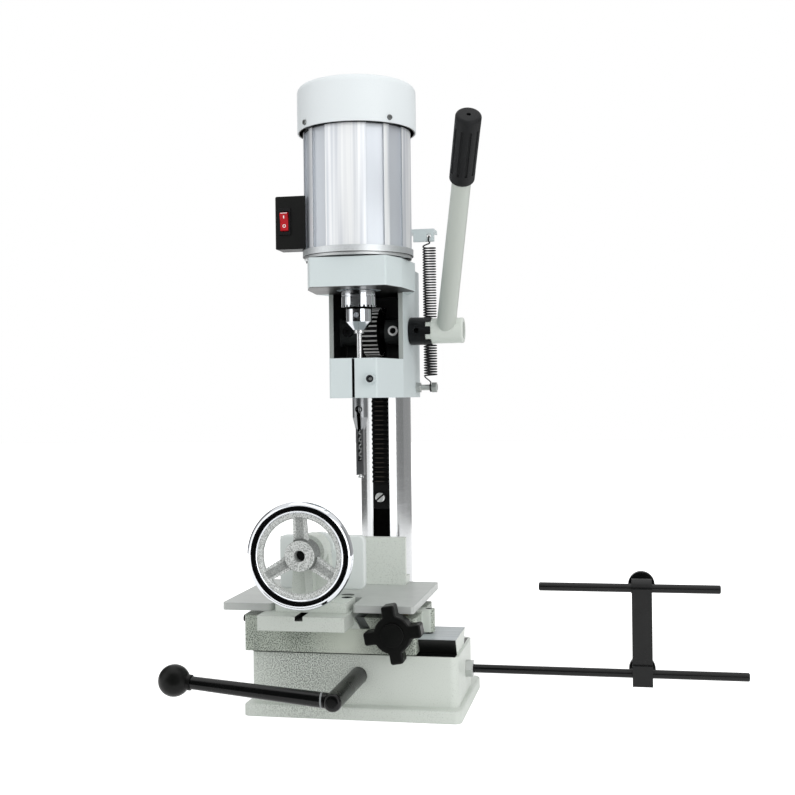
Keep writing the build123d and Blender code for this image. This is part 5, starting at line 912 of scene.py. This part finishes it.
class MORTISER_OT_fittings(bpy.types.Operator):
    """Add the flange's ring, the slotted screws and the switch's marks"""

    bl_idname = "mortiser.fittings"
    bl_label = "Add ring, screws and marks"

    def execute(self, context):
        self.seat_flange()
        self.drive_cover_screws()
        self.cap_rack_screw()
        self.mark_rocker()
        return {"FINISHED"}

    def seat_flange(self):
        """Ring under the motor's flange that brings it down on the head, but for a thin seam."""
        low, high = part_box("motor_housing")
        seam, under = 1.6 * MM, 3 * MM
        top = low.z - under
        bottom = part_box("head_casting")[1].z + seam
        radius = (high.x - low.x) / 2
        step = bmesh.new()
        place = Matrix.Translation(((low.x + high.x) / 2, (low.y + high.y) / 2, (top + bottom) / 2))
        bmesh.ops.create_cone(step, cap_ends=True, segments=96, radius1=radius, radius2=radius,
                              depth=top - bottom, matrix=place)
        caps = [face for face in step.faces if abs(face.normal.z) > 0.9]
        bmesh.ops.inset_individual(step, faces=caps, thickness=radius / 3)
        bores = [edge for cap in caps for edge in cap.edges]
        bmesh.ops.delete(step, geom=caps, context="FACES_ONLY")
        bmesh.ops.bridge_loops(step, edges=bores)
        keep_piece(step, "flange_step", cast_aluminium("die_cast_aluminium_step", "#D5D8D9", 1.2),
                   "head")

    def drive_cover_screws(self):
        """Four slotted screws through the cover's rim into the shield's lugs."""
        screws = bmesh.new()
        level, outside, slant = 703, 200, (0, 0.35, 1)
        radius, height, slot = 3.4 * MM, 2 * MM, 1 * MM
        for angle in (45, 135, 225, 315):
            out = Vector((cos(radians(angle)), sin(radians(angle)), 0))
            point, normal = touch("fan_cover", outside * out + Vector((0, 0, level)), (0, 0, level))
            slotted_head(screws, stand_on(point, normal, slant), radius, height, slot)
        keep_piece(screws, "cover_screws", milled_plate("zinc_plated_cover_screws", "#7E8180"),
                   "head")

    def cap_rack_screw(self):
        """Bright cheese head with a slanting slot, at the rack's foot."""
        above_foot, beside = 16, 5  # mm, from the rack's foot and from its middle
        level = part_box("column_rack")[0].z / MM + above_foot
        tilt, radius, height, slot = radians(-40), 6.5 * MM, 1.4 * MM, 2.2
        head = bmesh.new()
        point, normal = touch("column_screws", (beside, -100, level), (beside, 200, level))
        point.x = 0
        slotted_head(head, stand_on(point, normal, (sin(tilt), 0, cos(tilt))), radius, height, slot * MM)
        steel = slotted_steel("turned_steel_screw", "#EDEEEE", point, tilt, slot)
        keep_piece(head, "rack_foot_screw_head", steel, "base")

    def mark_rocker(self):
        """White bar, dash and ring moulded into the rocker."""
        marks = bmesh.new()
        thick, edge = 0.3 * MM, 0.1 * MM
        # Height over the rocker's middle, width and height of the bar and the dash
        for rise, width, height in ((10, 8.4, 1.5), (5.2, 1.3, 3.6)):
            shape = Matrix.Diagonal((width * MM, height * MM, thick, 1))
            verts = bmesh.ops.create_cube(marks, size=1, matrix=self.rocker_face(rise) @ shape)["verts"]
            round_edges(marks, linked(verts, "link_edges"), edge, 2)
        ring_rise, ring_radius, line = -5.5, 1.7 * MM, 0.4 * MM
        place = self.rocker_face(ring_rise)
        start = place @ Matrix.Translation((ring_radius, 0, 0)) @ Matrix.Rotation(pi / 2, 4, "X")
        outwards = place.to_3x3() @ Vector(UPRIGHT)
        sweep_circle(marks, start, line, place.translation, outwards, segments=8, steps=24)
        keep_piece(marks, "rocker_marks", moulded_plastic("moulded_nylon_white", "#E6E6E4", 0.4, 1.0),
                   "rocker")

    def rocker_face(self, rise):
        """Matrix on the rocker's face, so many millimetres over its middle."""
        low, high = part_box("switch_rocker")
        middle = (low + high) / 2 / MM
        level = middle.z + rise
        point, normal = touch("switch_rocker", (middle.x, -300, level), (middle.x, 0, level))
        return stand_on(point, normal, UPRIGHT)


class MORTISER_OT_stage(bpy.types.Operator):
    """Set the floor, the lights and the camera"""

    bl_idname = "mortiser.stage"
    bl_label = "Set stage"

    def execute(self, context):
        studio = context.scene.mortiser_studio
        context.scene.view_settings.view_transform = "Standard"
        self.lay_floor(studio)
        self.light_room(context, studio)
        self.hang_flags()
        self.hang_lights(studio)
        self.set_camera(context, studio)
        return {"FINISHED"}

    def lay_floor(self, studio):
        """Pale floor that keeps the shadow, lifted to white where the camera or a mirror looks at it."""
        sheet = bmesh.new()
        bmesh.ops.create_grid(sheet, x_segments=1, y_segments=1, size=8)
        material, shader, place = start_material(
            "matt_paper_floor", {"Base Color": studio.floor, "Roughness": 0.9, "Specular IOR Level": 0.1})
        path = add_node(place, "ShaderNodeLightPath").outputs
        # Less in mirrors, so that bright metal keeps its edges near the floor
        mirrored = do_math("MULTIPLY", path["Is Glossy Ray"], 0.8)
        seen = do_math("MAXIMUM", path["Is Camera Ray"], mirrored)
        seen = do_math("MAXIMUM", seen, path["Is Transmission Ray"])
        reach = vector_math(place, "LENGTH", place).outputs["Value"]
        # White from 1.5 m off, so that the floor meets the room without a line
        glow = remap(reach, 0.5, 1.5, 0.6, 1.0)
        shader.inputs["Emission Color"].default_value = WHITE
        feed(shader, {"Emission Strength": do_math("MULTIPLY", seen, glow)})
        floor = show("studio_floor", close_mesh(sheet, "studio_floor", material))
        floor.location.z = -0.2 * MM

    def light_room(self, context, studio):
        """White room: full white where it is seen, dimmer as light on the object."""
        world = bpy.data.worlds.new("white_room")
        context.scene.world = world
        world.use_nodes = True
        room = world.node_tree.nodes["Background"]
        path = add_node(room, "ShaderNodeLightPath").outputs
        seen = do_math("MAXIMUM", path["Is Camera Ray"], path["Is Glossy Ray"])
        seen = do_math("MAXIMUM", seen, path["Is Transmission Ray"])
        room.inputs["Color"].default_value = WHITE
        feed(room, {"Strength": remap(seen, low=studio.surround, high=1.0)})

    def hang_flags(self):
        """Black and grey boards, met by reflections alone, that give bright metal its darker bands."""
        black, far, lift = 0.004, 1.9, Vector((0, 0, 0.003))
        # Name, bearings of its two ends in degrees, where its foot starts, its height, and its grey
        boards = (
            ("board_front", -46, 27, 1.8, 0.75, black),
            ("board_right", 62, 103, far, 1.7, 0.33),
            ("board_far_right", 103, 176, far, 1.7, 0.44),
            ("board_left", -140, -88, far, 1.7, 0.16),
        )
        for name, start, end, near, height, level in boards:
            out = Vector((sin(radians(start)), -cos(radians(start)), 0))
            sheet = bmesh.new()
            corners = (near * out + lift, far * out + lift, far * out + Vector((0, 0, height)))
            foot, bend, top = [sheet.verts.new(corner) for corner in corners]
            rule = [foot, bend, top, sheet.edges.new((foot, bend)), sheet.edges.new((bend, top))]
            turn = radians(end - start)
            bmesh.ops.spin(sheet, geom=rule, cent=(0, 0, 0), axis=UPRIGHT, angle=turn, steps=16)
            bmesh.ops.remove_doubles(sheet, verts=sheet.verts, dist=1e-5)
            self.hang_board(name, sheet, level)
        # A round one before the handwheel, whose rim shows it as a dark ring
        disc = bmesh.new()
        place = Matrix.Translation((-0.034, -0.37, 0.195)) @ Matrix.Rotation(pi / 2, 4, "X")
        bmesh.ops.create_circle(disc, cap_ends=True, segments=64, radius=0.24, matrix=place)
        self.hang_board("board_wheel", disc, black)

    def hang_board(self, name, sheet, level):
        """One board of a set grey level that only reflections meet."""
        board = start_material(f"matt_{name}", {"Base Color": (0, 0, 0, 1), "Specular IOR Level": 0.0,
                                                "Emission Color": WHITE, "Emission Strength": level})[0]
        flag = show(name, close_mesh(sheet, name, board))
        for ray in ("camera", "diffuse", "transmission", "shadow"):
            setattr(flag, f"visible_{ray}", False)

    def hang_lights(self, studio):
        """Large soft boxes, aimed at the middle of the machine."""
        aim, side = Vector((0.02, 0, 0.36)), 2.2
        boxes = (
            ("key_light", (1.8, -1.6, 0.95), studio.key_power),
            ("fill_light", (-1.8, -1.7, 0.9), studio.fill_power),
            ("top_light", (0, -0.2, 2.4), studio.top_power),
        )
        for name, place, power in boxes:
            lamp = bpy.data.lights.new(name, "AREA")
            lamp.shape = "SQUARE"
            lamp.size = side
            lamp.energy = power
            box = show(name, lamp)
            box.location = place
            box.rotation_euler = (aim - Vector(place)).to_track_quat("-Z", "Y").to_euler()

    def set_camera(self, context, studio):
        """Camera at the photograph's place, level and turned a little to the left."""
        lens = bpy.data.cameras.new("camera")
        lens.sensor_width = SENSOR
        lens.lens = studio.focal_pixels / IMAGE_SIDE * SENSOR
        camera = show("camera", lens)
        camera.matrix_world = (
            Matrix.Translation(studio.camera_place)
            @ Matrix.Rotation(studio.camera_yaw, 4, "Z")
            @ Matrix.Rotation(pi / 2, 4, "X")
            @ Matrix.Rotation(-studio.camera_roll, 4, "Z"))
        context.scene.camera = camera


OPERATORS = (
    MORTISER_OT_stage,
    MORTISER_OT_castings,
    MORTISER_OT_steel,
    MORTISER_OT_motor,
    MORTISER_OT_mouldings,
    MORTISER_OT_handwheel,
    MORTISER_OT_spring,
    MORTISER_OT_fittings,
)


class MORTISER_PT_sidebar(bpy.types.Panel):
    """Lists the machine's settings and steps"""

    bl_idname = "MORTISER_PT_sidebar"
    bl_label = "Mortiser"
    bl_space_type = "VIEW_3D"
    bl_region_type = "UI"
    bl_category = "Mortiser"

    def draw(self, context):
        scene = context.scene
        for group in (scene.mortiser_colours, scene.mortiser_sizes, scene.mortiser_studio):
            box = self.layout.box()
            for name in group.bl_rna.properties.keys():
                if name not in ("rna_type", "name"):
                    box.prop(group, name)
        for operator in OPERATORS:
            self.layout.operator(operator.bl_idname)


CLASSES = (MortiserColours, MortiserSizes, MortiserStudio, *OPERATORS, MORTISER_PT_sidebar)


def register():
    """Register the classes and hang the settings on the scene."""
    for item in CLASSES:
        bpy.utils.register_class(item)
    bpy.types.Scene.mortiser_colours = PointerProperty(type=MortiserColours)
    bpy.types.Scene.mortiser_sizes = PointerProperty(type=MortiserSizes)
    bpy.types.Scene.mortiser_studio = PointerProperty(type=MortiserStudio)


def unregister():
    """Take the settings and the classes away again."""
    del bpy.types.Scene.mortiser_colours
    del bpy.types.Scene.mortiser_sizes
    del bpy.types.Scene.mortiser_studio
    for item in reversed(CLASSES):
        bpy.utils.unregister_class(item)


def main():
    """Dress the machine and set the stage."""
    register()
    for operator in OPERATORS:
        group, name = operator.bl_idname.split(".")
        getattr(getattr(bpy.ops, group), name)()


if __name__ == "__main__":
    main()
